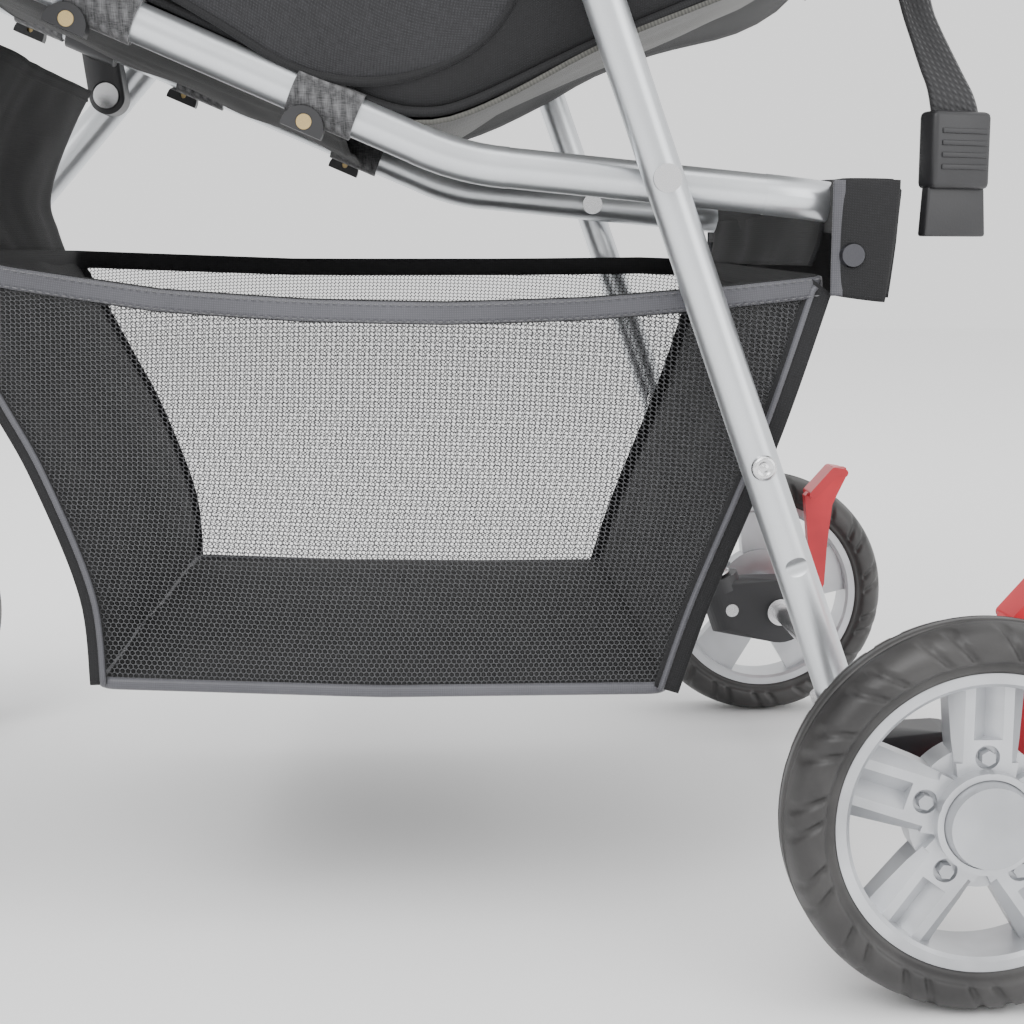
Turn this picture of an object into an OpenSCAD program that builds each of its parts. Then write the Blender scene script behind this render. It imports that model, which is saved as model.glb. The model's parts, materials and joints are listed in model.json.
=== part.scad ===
// Folding four-wheel pet stroller: tubular A-frame, fabric cabin with canopy,
// mesh basket, swivelling front casters and sprung, braked rear wheels.
// Z is up, the stroller faces -Y, and X runs across it.

/* [Frame] */
// height of the rear axle above the ground
axle_z = 76; // [60:1:95]
// lean of the rear legs from the vertical, forwards going up
rear_lean = 19.65; // [12:0.05:25]
// lean of the front legs and handle from the vertical, backwards going up
front_lean = 41.4; // [35:0.1:46]
// length of each side of the folding triangle
link_len = 279.5; // [240:0.5:320]
// seat-to-rear-leg rivet, forward of the rear axle
rivet_s = 116; // [90:1:140]
// seat-to-rear-leg rivet, above the ground
rivet_z = 315; // [280:1:340]
// diameter of the rear legs and the seat frame
tube_d = 16; // [14:0.5:20]
// diameter of the front legs and the handle
main_d = 19; // [16:0.5:24]
// distance of the seat frame rails from the middle
seat_x = 143.5; // [130:0.5:150]
// distance of the rear legs from the middle
rear_x = 161.5; // [150:0.5:170]
// distance of the front legs from the middle
front_x = 184; // [176:0.5:190]
// height where the front legs end in the handle sleeves
leg_top_z = 830; // [800:5:860]
// radius of the push handle's side bends
handle_bend = 60; // [40:5:90]

/* [Wheels] */
// diameter of all four wheels
wheel_d = 152; // [140:1:160]
// width of the tyres
tyre_w = 34; // [26:1:38]
// distance of the rear wheels from the middle
wheel_x = 215; // [205:1:225]
// number of spokes
spokes = 5; // [3:1:8]
// trail of the front casters behind their stems
trail = 30; // [15:1:40]

/* [Cabin] */
// half width of the cabin
cabin_x = 150; // [120:1:152]
// thickness of the padded fabric
fabric_t = 4; // [2:0.5:6]
// height of the canopy hubs
hub_z = 640; // [600:5:680]

/* [Basket] */
// half width of the basket
basket_x = 148.5; // [120:0.5:150]
// height of the basket floor
basket_floor = 106; // [95:1:130]

/* [Tray] */
// radius of the cup wells
cup_r = 37; // [30:0.5:42]
// depth of the cup wells
cup_depth = 52; // [35:1:70]

/* [Hidden] */
$fn = 48;
fit = 0.05;
lap = 1;
y_rear = 204.25;
ur = [-sin(rear_lean), -cos(rear_lean)];
uf = [sin(front_lean), -cos(front_lean)];
piv_c = [rivet_s, rivet_z];
piv_b = piv_c - link_len * ur;
beta = rear_lean + front_lean;
piv_d = piv_b + 2 * link_len * cos(beta) * uf;
wheel_r = wheel_d / 2;
function leg_q(q) = piv_c + q * ur;
function front_z(z) = piv_b + (piv_b[1] - z) / cos(front_lean) * uf;
foot = front_z(200);
stem = [foot[0] + 32, 165];
front_axle = [stem[0] - trail, wheel_r];
leg_end = leg_q(206);
rail_lo = 5.63;
rail_hi = 23;
rail_k = [194.5, 322];
rail_r = 110;
rail_rear = 31;
rail_front = 462;
silver = [0.72, 0.74, 0.76];
black = [0.09, 0.09, 0.1];
charcoal = [0.2, 0.2, 0.22];
grey = [0.5, 0.51, 0.53];
rubber = [0.06, 0.06, 0.06];
red = [0.75, 0.07, 0.08];
brass = [0.75, 0.62, 0.35];

// place children at a point given as forward distance and height
module at(p, x = 0) {
    translate([x, y_rear - p[0], p[1]]) children();
}

// round bar between two points of one side plane
module bar(a, b, d, x) {
    dy = a[0] - b[0];
    dz = b[1] - a[1];
    at(a, x) rotate([atan2(-dy, dz), 0, 0])
        cylinder(d = d, h = norm(b - a));
}

// round bar along X, centred on a point of the side plane
module pin(p, x0, x1, r) {
    at(p, x0) rotate([0, 90, 0]) cylinder(r = r, h = x1 - x0);
}

// the same piece on both sides, drawn on the right and mirrored
module both() {
    children();
    mirror([1, 0, 0]) children();
}

// bent tube in a side plane: centre, radius, start and end angle
module bend(c, r, a0, a1, d, x) {
    at(c, x) rotate([90, 0, 90]) rotate([0, 0, a0 - lap])
        rotate_extrude(angle = a1 - a0 + 2 * lap) translate([r, 0]) circle(d = d + 0.3);
}

// U end: two rails coming along +Y, round corners and a crossbar at y = 0
module u_end(w, rc, len, d) {
    for (m = [-1, 1]) {
        translate([m * w, -len, 0]) rotate([-90, 0, 0])
            cylinder(d = d, h = len - rc);
    }
    translate([w - rc, -rc, 0]) rotate([0, 0, -lap])
        rotate_extrude(angle = 90 + 2 * lap) translate([rc, 0]) circle(d = d + 0.3);
    translate([-w + rc, -rc, 0]) rotate([0, 0, 90 - lap])
        rotate_extrude(angle = 90 + 2 * lap) translate([rc, 0]) circle(d = d + 0.3);
    translate([-w + rc, 0, 0]) rotate([0, 90, 0])
        cylinder(d = d, h = 2 * (w - rc));
}

// ---- front frame ------------------------------------------------------

module front_leg() {
    difference() {
        bar(foot, front_z(leg_top_z), main_d, front_x);
        pin(piv_d, front_x - 15, front_x + 15, 4 + fit);
    }
}
module front_leg_left() { color(silver) mirror([1, 0, 0]) front_leg(); }
module front_leg_right() { color(silver) front_leg(); }

grip_lean = 72;
hb = front_z(930);
hc = [hb[0] - handle_bend * cos(front_lean), hb[1] - handle_bend * sin(front_lean)];
he = hc + handle_bend * [cos(grip_lean), sin(grip_lean)];
grip_run = 75;
gp = he + grip_run * [-sin(grip_lean), cos(grip_lean)];

module handle_tube() color(silver) {
    both() {
        bar(front_z(leg_top_z + 0.4), hb, main_d, front_x);
        bend(hc, handle_bend, 180 - grip_lean, 180 - front_lean, main_d, front_x);
    }
    at(gp) rotate([90 - grip_lean, 0, 0]) u_end(front_x, 52, grip_run, main_d);
}

module handle_grip() color(black) {
    difference() {
        union() {
            pin(gp, -118, 118, 15);
            for (m = [-1, 1]) {
                pin(gp, m * 121 - 3, m * 121 + 3, 13);
            }
        }
        pin(gp, -130, 130, main_d / 2 + fit);
    }
}

module leg_sleeves() color(black) both() {
    difference() {
        bar(front_z(leg_top_z - 17), front_z(leg_top_z + 26), main_d + 7, front_x);
        bar(front_z(leg_top_z - 40), front_z(leg_top_z + 40), main_d + 2 * fit, front_x);
    }
}

bar_p = front_z(262);
module front_crossbar() color(silver) {
    difference() {
        union() {
            pin(bar_p, -front_x + 14, front_x - 14, 8);
            both() {
                bar(front_z(250), front_z(274), main_d + 8, front_x);
            }
        }
        both() {
            bar(front_z(230), front_z(290), main_d + 2 * fit, front_x);
        }
    }
}

module caster_housings() color(black) both() {
    difference() {
        union() {
            hull() {
                bar(front_z(206), front_z(238), main_d + 9, front_x);
                at([stem[0], 182], front_x) cylinder(d = 33, h = 30, $fn = 32);
            }
            at(stem, front_x) cylinder(d = 36, h = 46);
            at([stem[0], 211], front_x) cylinder(d1 = 36, d2 = 28, h = 4);
        }
        bar(front_z(199.5), front_z(280), main_d + 2 * fit, front_x);
        at([stem[0], 160], front_x) cylinder(r = 8 + fit, h = 42);
    }
}

module seat_pivot_pins() color(silver) both() {
    pin(piv_d, 155, front_x + 11, 4);
    pin(piv_d, front_x + 10, front_x + 13, 7.5);
    pin(piv_d, 152.4, 155, 7);
}

tray_s = -34;
tray_z = 872;
module cup_tray() color(black) {
    difference() {
        union() {
            hull() {
                for (x = [-150, 150]) {
                    for (y = [-34, 34]) {
                        at([tray_s + y, tray_z], x) cylinder(r = 16, h = 14, $fn = 32);
                    }
                }
            }
            for (x = [-90, 90]) {
                at([tray_s, tray_z + 14 - cup_depth - 3], x)
                    cylinder(r1 = cup_r + 1, r2 = cup_r + 3, h = cup_depth);
            }
            both() {
                bar(front_z(tray_z - 12), front_z(tray_z + 26), main_d + 8, front_x);
                at([tray_s, tray_z], 155) translate([0, -5, 0]) cube([24, 50, 14]);
            }
        }
        for (x = [-90, 90]) {
            at([tray_s, tray_z + 14 - cup_depth], x) cylinder(r = cup_r, h = cup_depth + 5);
        }
        hull() {
            for (y = [-24, 24]) {
                at([tray_s + y, tray_z + 4], 0) cylinder(r = 20, h = 20, $fn = 32);
            }
        }
        both() {
            bar(front_z(tray_z - 40), front_z(tray_z + 60), main_d + 2 * fit, front_x);
        }
    }
}

// ---- seat frame -------------------------------------------------------

// height of the rail centre line at a forward distance
function rail_z(s) = s < rail_k[0]
    ? rail_k[1] + (s - rail_k[0]) * tan(rail_lo)
    : rail_k[1] + (s - rail_k[0]) * tan(rail_hi);
bend_t = rail_r * tan((rail_hi - rail_lo) / 2);
ka = rail_k - bend_t * [cos(rail_lo), sin(rail_lo)];
kb = rail_k + bend_t * [cos(rail_hi), sin(rail_hi)];
kc = ka + rail_r * [-sin(rail_lo), cos(rail_lo)];

module rail_path(d) {
    rear_end = [rail_rear, rail_z(rail_rear)];
    front_end = [rail_front, rail_z(rail_front)];
    rear_len = norm(ka - rear_end);
    front_len = norm(front_end - kb);
    at(rear_end) rotate([-rail_lo, 0, 0]) u_end(seat_x, 42, rear_len, d);
    both() bend(kc, rail_r, -90 - rail_hi, -90 - rail_lo, d, seat_x);
    at(front_end) rotate([0, 0, 180]) rotate([rail_hi, 0, 0])
        u_end(seat_x, 42, front_len, d);
}

module seat_tube() color(silver) {
    difference() {
        rail_path(tube_d);
        both() pin(piv_c, seat_x - 12, seat_x + 12, 3.5 + fit);
    }
}

// plastic clip round the rail that carries the front pivot
module leg_clip() {
    c = [piv_d[0] + 2, rail_z(piv_d[0] + 2)];
    difference() {
        union() {
            bar(c - 14 * [cos(rail_hi), sin(rail_hi)],
                c + 14 * [cos(rail_hi), sin(rail_hi)], tube_d + 6, seat_x);
            hull() {
                pin(piv_d, 156, 173.6, 10);
                pin(c - [0, 2], 147, 156, 10);
            }
        }
        bar(c - 30 * [cos(rail_hi), sin(rail_hi)],
            c + 30 * [cos(rail_hi), sin(rail_hi)], tube_d + 2 * fit, seat_x);
        pin(piv_d, 155.9, 180, 4 + fit);
        pin(piv_d, 140, 156.2, 7.6);
    }
}
module leg_clips() color(black) both() leg_clip();

module frame_rivets() color(silver) both() {
    pin(piv_c, seat_x - 8.2, rear_x + 8.2, 3.5);
    pin(piv_c, seat_x - 10.6, seat_x - 8.1, 5.5);
    pin(piv_c, rear_x + 8.1, rear_x + 10.8, 5.5);
    difference() {
        pin(piv_c, seat_x + 8.2, rear_x - 8.2, 6.5);
        pin(piv_c, seat_x + 5, rear_x - 5, 3.5 + fit);
    }
}

loop_s = [247.5, 332, 419];
module woven_loops() color(charcoal) both() {
    for (s = loop_s) {
        p = [s, rail_z(s)];
        u = [cos(rail_hi), sin(rail_hi)];
        difference() {
            bar(p - 13.5 * u, p + 13.5 * u, tube_d + 3, seat_x);
            rail_path(tube_d + 2 * fit);
        }
    }
}

// half-moon clip that closes each woven loop
clip_s = [251.5, 341, 424];
module strap_clips() color(black) both() {
    for (s = clip_s) {
        p = [s, rail_z(s)];
        u = [cos(rail_hi), sin(rail_hi)];
        difference() {
            at(p, seat_x + 2.5) rotate([-rail_hi, 0, 0]) translate([0, 0, -12.5])
                rotate([0, 90, 0]) cylinder(r = 8.5, h = 7.3);
            at(p, seat_x) rotate([-rail_hi, 0, 0]) translate([0, -20, -34]) cube([14, 40, 20]);
            bar(p - 20 * u, p + 20 * u, tube_d + 3.6, seat_x);
            at(p, seat_x + 8.5) rotate([-rail_hi, 0, 0]) translate([0, 0, -10])
                rotate([0, 90, 0]) cylinder(r = 3.2, h = 5);
            at(p, seat_x) rotate([-rail_hi, 0, 0]) translate([0, 0, -10])
                rotate([0, 90, 0]) cylinder(r = 1.7, h = 14);
        }
    }
}

module clip_screws() color(brass) both() {
    for (s = clip_s) {
        at([s, rail_z(s)], seat_x + 5.2) rotate([-rail_hi, 0, 0]) translate([0, 0, -10]) {
            rotate([0, 90, 0]) cylinder(r = 1.5, h = 3.4);
            translate([3.35, 0, 0]) rotate([0, 90, 0]) cylinder(r = 3, h = 1.1);
        }
    }
}

// ---- cabin and canopy -------------------------------------------------

cab_out = [[212, 343], [425, 434], [474, 466], [486, 575], [-27, 660], [-30, 560], [0, 430]];
cab_in = [[212, 349], [423, 440], [469, 469], [486, 600], [-21, 690], [-24, 560], [4, 433]];
module side_poly(pts, w) {
    translate([-w, y_rear, 0]) rotate([90, 0, 90]) linear_extrude(2 * w)
        polygon([for (p = pts) [-p[0], p[1]]]);
}

module cabin_shell() color(charcoal) {
    difference() {
        side_poly(cab_out, cabin_x);
        side_poly(cab_in, cabin_x - fabric_t);
    }
}

// one pad in two leaves that follow the V of the cabin floor
pad_pts = [[212, 350.5], [418, 438.5], [410, 457], [212, 372], [22, 446], [12, 431]];
module cabin_pad() color(grey) side_poly(pad_pts, cabin_x - fabric_t - 3);

hub_p = [190, hub_z];
can_out = [[-27, 661], [-16, 735], [50, 822], [160, 878], [292, 868], [388, 806], [196, 628]];
can_in = [[-21, 650], [-11, 733], [53, 818], [161, 873], [290, 863], [400, 800], [260, 600]];
module canopy() color(charcoal) {
    difference() {
        side_poly(can_out, cabin_x);
        side_poly(can_in, cabin_x - fabric_t);
        both() pin(hub_p, 140, 160, 5.2);
    }
}

// canopy bow: two side arms and a crossbar, swung to an angle about the hub
module bow(a, x, len) {
    difference() {
        union() {
            at(hub_p) rotate([-a, 0, 0]) rotate([0, 0, 180]) {
                translate([0, len, 0]) u_end(x, 30, len - 8, 5.3);
            }
            both() pin(hub_p, x - 2.6, x + 2.6, 9.5);
        }
        both() pin(hub_p, x - 6, x + 6, 4 + fit);
    }
}
module canopy_bow_front() color(black) bow(39.5, 142.3, 240);
module canopy_bow_middle() color(black) bow(86, 136.6, 225);
module canopy_bow_rear() color(black) bow(146, 130.9, 214);

module canopy_hubs() color(black) both() {
    pin(hub_p, 127, 151.2, 4);
    pin(hub_p, 124.4, 127.2, 7);
    pin(hub_p, 150.4, 153.1, 14);
}

// ---- basket -----------------------------------------------------------

bk_out = [[110, 106], [346, 112], [349, 150], [366, 200], [381, 233], [408, 286], [300, 273], [200, 270],
    [120, 271], [50, 276], [96, 150]];
bk_in = [[116, 110], [341, 116], [344, 152], [361, 201], [376, 234], [402.5, 287], [402.5, 300], [50, 300],
    [56, 276], [101, 152]];
module basket() color(grey) {
    difference() {
        side_poly(bk_out, basket_x);
        side_poly(bk_in, basket_x - 3);
    }
}

// fabric panel that hangs the basket's front edge from the seat frame
module basket_front_panel() color(black) {
    difference() {
        side_poly([[409.3, 287.5], [412.7, 287.5], [418, 317], [394.3, 377], [391, 375.5], [414.6, 316.5]],
            basket_x - 14);
        side_poly([[350, 300], [352, 300], [350, 303]], 10);
    }
}

// flaps that wrap the seat frame's rear crossbar and snap shut
flap_x = [-60, 60];
module basket_flaps() color(charcoal) {
    c = [rail_rear, rail_z(rail_rear)];
    difference() {
        union() {
            for (x0 = [-152, 18]) {
                at(c, x0) translate([0, -14.5, -10.5]) cube([134, 25.5, 21]);
                at(c, x0) translate([0, 7.5, -36]) cube([134, 3.5, 27]);
            }
            both() at(c, 149) translate([0, -14.5, -36]) cube([3, 25.5, 27]);
        }
        rail_path(tube_d + 0.5);
    }
}

module flap_snaps() color(silver) {
    c = [rail_rear, rail_z(rail_rear)];
    for (x = flap_x) {
        at(c, x) translate([0, 11.1, -26]) rotate([-90, 0, 0]) cylinder(r1 = 5.5, r2 = 4.5, h = 2);
    }
    both() at(c, 152.1) translate([0, -8, -20]) rotate([0, 90, 0])
        cylinder(r1 = 5.5, r2 = 4.5, h = 2);
}

// ---- hanging strap ----------------------------------------------------

strap_p = [-17.3, 0];
strap_x = 98;
strap_turn = 20;
module hang_strap() color(black) {
    at(strap_p, strap_x) rotate([0, 0, strap_turn]) translate([-0.9, 0, 0]) rotate([90, 0, 90])
        linear_extrude(1.8) polygon([[-43.5, 418.6], [-29, 392], [-16, 366], [-12.7, 341], [12.7, 341],
            [-1, 366], [-16.5, 392], [-25, 426]]);
}

module strap_buckle() color(black) {
    at(strap_p, strap_x) rotate([0, 0, strap_turn]) {
        difference() {
            union() {
                translate([-6, -15, 314]) cube([12, 30, 32.5]);
                translate([-3, -16, 293.5]) cube([6, 32, 17.5]);
                for (m = [-1, 1]) {
                    translate([-2, m * 10 - 3, 310]) cube([4, 6, 5]);
                }
            }
            translate([-1.5, -13.2, 340.5]) cube([3, 26.4, 8]);
        }
    }
}

// ---- sliding collars --------------------------------------------------

module slide_collar() {
    difference() {
        union() {
            bar(piv_b - 24 * uf, piv_b + 24 * uf, main_d + 8, front_x);
            pin(piv_b, front_x - 13.2, front_x - 2, 13);
        }
        bar(piv_b - 40 * uf, piv_b + 40 * uf, main_d + 0.7, front_x);
        at(piv_b, front_x - 33.2) translate([0, -40, -40]) cube([20, 80, 80]);
        pin(piv_b, front_x - 20, front_x - 9.2, 4 + fit);
    }
}
module slide_collar_left() color(black) mirror([1, 0, 0]) slide_collar();
module slide_collar_right() color(black) slide_collar();

module collar_pin() {
    pin(piv_b, rear_x - 8.4, front_x - 10.2, 4);
    pin(piv_b, rear_x - 10.8, rear_x - 8.3, 7);
}
module collar_pin_left() color(silver) mirror([1, 0, 0]) collar_pin();
module collar_pin_right() color(silver) collar_pin();

// ---- rear frame -------------------------------------------------------

module rear_leg() {
    difference() {
        union() {
            bar(leg_q(-link_len - 9), leg_q(219), tube_d, rear_x);
            bar(leg_q(218), leg_q(248), 10, rear_x);
        }
        pin(piv_b, rear_x - 15, rear_x + 15, 4 + fit);
        pin(piv_c, rear_x - 15, rear_x + 15, 3.5 + fit);
        pin(leg_q(119), rear_x - 15, rear_x + 15, 3);
        at(leg_q(161.4), rear_x + 12.6) rotate([rear_lean, 0, 0]) rotate([90, 0, 0])
            cylinder(r = 6, h = 30, center = true);
    }
}
module rear_leg_left() color(silver) mirror([1, 0, 0]) rear_leg();
module rear_leg_right() color(silver) rear_leg();

module leg_rivets() color(silver) both() {
    pin(leg_q(119), rear_x - 8.4, rear_x + 8.4, 3 - fit);
    pin(leg_q(119), rear_x + 8.1, rear_x + 10.4, 5);
    pin(leg_q(119), rear_x - 10.2, rear_x - 8.1, 5);
}

module leg_caps() color(silver) both() {
    difference() {
        bar(leg_q(216), leg_q(222), 21, rear_x);
        bar(leg_q(200), leg_q(219.1), tube_d + 2 * fit, rear_x);
        bar(leg_q(210), leg_q(230), 10 + 2 * fit, rear_x);
    }
}

// ---- rear axle unit ---------------------------------------------------

ax = [0, axle_z];
module rear_bracket() {
    difference() {
        union() {
            hull() {
                pin(ax, 150, 171, 19, $fn = 32);
                bar(leg_q(237), leg_q(264), 24, rear_x, $fn = 32);
            }
            bar(leg_q(233.5), leg_q(242), 27, rear_x);
        }
        bar(leg_q(220), leg_q(257), 10.6, rear_x);
        pin(ax, 140, 200, 5 + fit);
        pin(ax, 171.2, 185, 14);
        at([29, 77], 149) rotate([0, 90, 0]) cylinder(r = 4, h = 3);
    }
}
module rear_bracket_left() color(black) mirror([1, 0, 0]) rear_bracket();
module rear_bracket_right() color(black) rear_bracket();

module rear_axle() color(silver) {
    pin(ax, -wheel_x - 12, wheel_x + 12, 5);
}

module axle_washers() color(silver) both() {
    difference() {
        union() {
            pin(ax, 147.2, 149.7, 8);
            pin(ax, 179.3, 196.6, 9);
        }
        pin(ax, 130, 200, 5 + fit);
    }
}

module bracket_screws() color(silver) both() {
    at([29, 77], 149.4) rotate([0, 90, 0]) cylinder(r = 3.8, h = 2);
}

// coil spring between the leg cap and the bracket
coils = 3;
module rear_springs() color(silver) both() {
    for (i = [0:coils - 1]) {
        at(leg_q(223.4 + i * 4.2), rear_x) rotate([rear_lean, 0, 0])
            rotate_extrude() translate([8.4, 0]) circle(d = 2, $fn = 16);
    }
    difference() {
        bar(leg_q(222.6), leg_q(232.6), 16.2, rear_x);
        bar(leg_q(200), leg_q(240), 14, rear_x);
    }
}

// ---- brakes -----------------------------------------------------------

pedal_side = [[0, 87], [-9, 90], [-15, 98], [-20.8, 113], [-18.1, 142.7], [-20.5, 145.1], [-34, 160.6],
    [-42.8, 159.7], [-42.9, 154.2], [-34.9, 137], [-32.5, 113], [-31.3, 88], [-24, 74], [-10, 65], [0, 65]];
module brake_pedal() {
    difference() {
        union() {
            pin(ax, 172, 179, 12);
            translate([172, y_rear, 0]) rotate([90, 0, 90]) linear_extrude(7)
                polygon([for (p = pedal_side) [-p[0], p[1]]]);
            hull() {
                pin([-22.5, 144], 167, 186, 2.5);
                pin([-35, 157.6], 167, 186, 2.9);
            }
            hull() {
                pin([-35, 157.6], 167, 186, 2.9);
                pin([-40.4, 157], 167, 186, 2.6);
            }
        }
        pin(ax, 160, 190, 5 + fit);
    }
}
module brake_pedal_left() color(red) mirror([1, 0, 0]) brake_pedal();
module brake_pedal_right() color(red) brake_pedal();

// ---- casters ----------------------------------------------------------

module caster_fork() {
    difference() {
        union() {
            at([stem[0], 156.5], front_x) cylinder(r = 8, h = 44);
            hull() {
                at([stem[0], 156.5], front_x) cylinder(d = 34, h = 7.5, $fn = 32);
                at([front_axle[0] + 6, 155], front_x) translate([-27, -9, 0.5]) cube([54, 22, 7]);
            }
            for (m = [-1, 1]) {
                hull() {
                    at([front_axle[0] + 6, 155], front_x) translate([m * 24.4 - 2.6, -9, 0])
                        cube([5.2, 22, 7]);
                    pin(front_axle, front_x + m * 24.4 - 2.6, front_x + m * 24.4 + 2.6, 11);
                }
            }
        }
        pin(front_axle, front_x - 40, front_x + 40, 4 + fit);
    }
}
module caster_fork_left() color(black) mirror([1, 0, 0]) caster_fork();
module caster_fork_right() color(black) caster_fork();

module front_axle_bolt() {
    pin(front_axle, front_x - 29, front_x + 28, 4);
    pin(front_axle, front_x + 27.2, front_x + 30.5, 7);
    pin(front_axle, front_x - 31.5, front_x - 27.2, 6.5);
}
module front_axle_left() color(silver) mirror([1, 0, 0]) front_axle_bolt();
module front_axle_right() color(silver) front_axle_bolt();

// ---- wheels -----------------------------------------------------------

rim_r = 58;
hub_r = 28;
lug_r = 24.3;

module wheel_at(p, x) {
    at(p, x) rotate([0, 90, 0]) children();
}

module tyre() {
    w = tyre_w / 2;
    rotate_extrude($fn = 96) polygon([[rim_r + 0.05, -w + 6], [rim_r + 4, -w + 1], [wheel_r - 9, -w],
        [wheel_r - 3, -w + 4.5], [wheel_r - 0.6, -w + 10], [wheel_r, -4], [wheel_r, 4],
        [wheel_r - 0.6, w - 10], [wheel_r - 3, w - 4.5], [wheel_r - 9, w], [rim_r + 4, w - 1],
        [rim_r + 0.05, w - 6]]);
}

// spoke with sloping flanks and a valley along its middle
module spoke() {
    difference() {
        translate([0, 0, -7]) linear_extrude(15)
            polygon([[16, -11], [30, -13], [54, -15], [54, 15], [30, 13], [16, 11]]);
        translate([31, 0, 2.5]) rotate([45, 0, 0]) cube([40, 9, 9]);
        translate([22, -14.5, 8.4]) rotate([45, 0, 0]) translate([0, -4, -4]) cube([40, 8, 8]);
        translate([22, 14.5, 8.4]) rotate([45, 0, 0]) translate([0, -4, -4]) cube([40, 8, 8]);
    }
}

// rim with spokes; the outer face looks along +Z
module rim(bore) {
    difference() {
        union() {
            rotate_extrude($fn = 96) polygon([[52.5, -12], [54, -13.5], [rim_r, -13.5], [rim_r, 13.5],
                [54, 13.5], [52.5, 12]]);
            translate([0, 0, -9.5]) cylinder(r = hub_r, h = 13);
            translate([0, 0, -9]) cylinder(r = 19.8, h = 23);
            cylinder(r = 13, h = 36, center = true);
            for (i = [0:spokes - 1]) {
                rotate([0, 0, 180 + i * 360 / spokes]) spoke();
            }
        }
        cylinder(r = bore + fit, h = 60, center = true);
        for (i = [0:spokes - 1]) {
            rotate([0, 0, 180 + i * 360 / spokes]) translate([lug_r, 0, 5]) cylinder(r = 4.7, h = 12);
        }
        translate([0, 0, 12.5]) cylinder(r = 17.4, h = 20);
    }
}

module cap_and_nuts() {
    difference() {
        translate([0, 0, 12.7]) cylinder(r1 = 17.2, r2 = 15.8, h = 6);
        translate([0, 0, 10]) cylinder(r = 8, h = 6);
    }
    for (i = [0:spokes - 1]) {
        rotate([0, 0, 180 + i * 360 / spokes]) translate([lug_r, 0, 5.1])
            cylinder(r = 3, h = 4.5, $fn = 6);
    }
}

module rear_tyre_right() color(rubber) wheel_at(ax, wheel_x) tyre();
module rear_rim_right() color(silver) wheel_at(ax, wheel_x) rim(5);
module rear_cap_right() color(grey) wheel_at(ax, wheel_x) cap_and_nuts();
module rear_tyre_left() color(rubber) mirror([1, 0, 0]) wheel_at(ax, wheel_x) tyre();
module rear_rim_left() color(silver) mirror([1, 0, 0]) wheel_at(ax, wheel_x) rim(5);
module rear_cap_left() color(grey) mirror([1, 0, 0]) wheel_at(ax, wheel_x) cap_and_nuts();
module front_tyre_right() color(rubber) wheel_at(front_axle, front_x) tyre();
module front_rim_right() color(silver) wheel_at(front_axle, front_x) rim(4);
module front_tyre_left() color(rubber) mirror([1, 0, 0]) wheel_at(front_axle, front_x) tyre();
module front_rim_left() color(silver) mirror([1, 0, 0]) wheel_at(front_axle, front_x) rim(4);

// ---- output ------------------------------------------------------------

front_leg_left();
front_leg_right();
handle_tube();
handle_grip();
leg_sleeves();
front_crossbar();
caster_housings();
seat_pivot_pins();
cup_tray();
seat_tube();
leg_clips();
frame_rivets();
woven_loops();
strap_clips();
clip_screws();
cabin_shell();
cabin_pad();
canopy();
canopy_hubs();
canopy_bow_front();
canopy_bow_middle();
canopy_bow_rear();
basket();
basket_front_panel();
basket_flaps();
flap_snaps();
hang_strap();
strap_buckle();
slide_collar_left();
slide_collar_right();
collar_pin_left();
collar_pin_right();
rear_leg_left();
rear_leg_right();
leg_rivets();
leg_caps();
rear_bracket_left();
rear_bracket_right();
rear_axle();
axle_washers();
bracket_screws();
rear_springs();
brake_pedal_left();
brake_pedal_right();
caster_fork_left();
caster_fork_right();
front_axle_left();
front_axle_right();
rear_tyre_left();
rear_rim_left();
rear_cap_left();
rear_tyre_right();
rear_rim_right();
rear_cap_right();
front_tyre_left();
front_rim_left();
front_tyre_right();
front_rim_right();
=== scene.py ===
"""Pet stroller: fabric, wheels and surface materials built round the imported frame."""

import json
import math

import bpy
from mathutils import Matrix, Vector, noise
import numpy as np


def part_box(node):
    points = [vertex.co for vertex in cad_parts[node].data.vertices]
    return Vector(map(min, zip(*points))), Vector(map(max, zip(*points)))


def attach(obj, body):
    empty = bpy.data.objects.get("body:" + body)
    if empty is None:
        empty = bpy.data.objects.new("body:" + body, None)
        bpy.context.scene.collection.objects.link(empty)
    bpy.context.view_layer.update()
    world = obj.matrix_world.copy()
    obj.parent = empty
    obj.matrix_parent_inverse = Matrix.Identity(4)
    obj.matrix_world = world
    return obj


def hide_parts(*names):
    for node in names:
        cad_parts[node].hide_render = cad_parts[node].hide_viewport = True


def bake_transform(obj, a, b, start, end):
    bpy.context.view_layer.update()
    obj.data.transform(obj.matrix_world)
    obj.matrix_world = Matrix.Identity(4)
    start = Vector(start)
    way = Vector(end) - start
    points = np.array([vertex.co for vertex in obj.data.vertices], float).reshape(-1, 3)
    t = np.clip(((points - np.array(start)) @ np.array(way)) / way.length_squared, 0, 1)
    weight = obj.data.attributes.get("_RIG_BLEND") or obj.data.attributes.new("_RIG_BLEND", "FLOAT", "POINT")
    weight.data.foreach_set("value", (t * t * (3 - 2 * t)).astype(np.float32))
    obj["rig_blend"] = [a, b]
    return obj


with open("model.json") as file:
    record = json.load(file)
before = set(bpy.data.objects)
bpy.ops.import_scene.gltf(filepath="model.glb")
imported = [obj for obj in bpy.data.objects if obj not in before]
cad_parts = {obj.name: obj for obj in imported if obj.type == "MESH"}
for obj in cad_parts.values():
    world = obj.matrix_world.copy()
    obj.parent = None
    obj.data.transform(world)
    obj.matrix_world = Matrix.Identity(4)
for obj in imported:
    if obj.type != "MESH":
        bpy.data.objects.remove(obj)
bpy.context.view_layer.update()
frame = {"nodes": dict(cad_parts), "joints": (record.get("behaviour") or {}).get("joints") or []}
MM = 0.001

# ---- places taken from the frame ---------------------------------------

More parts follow.
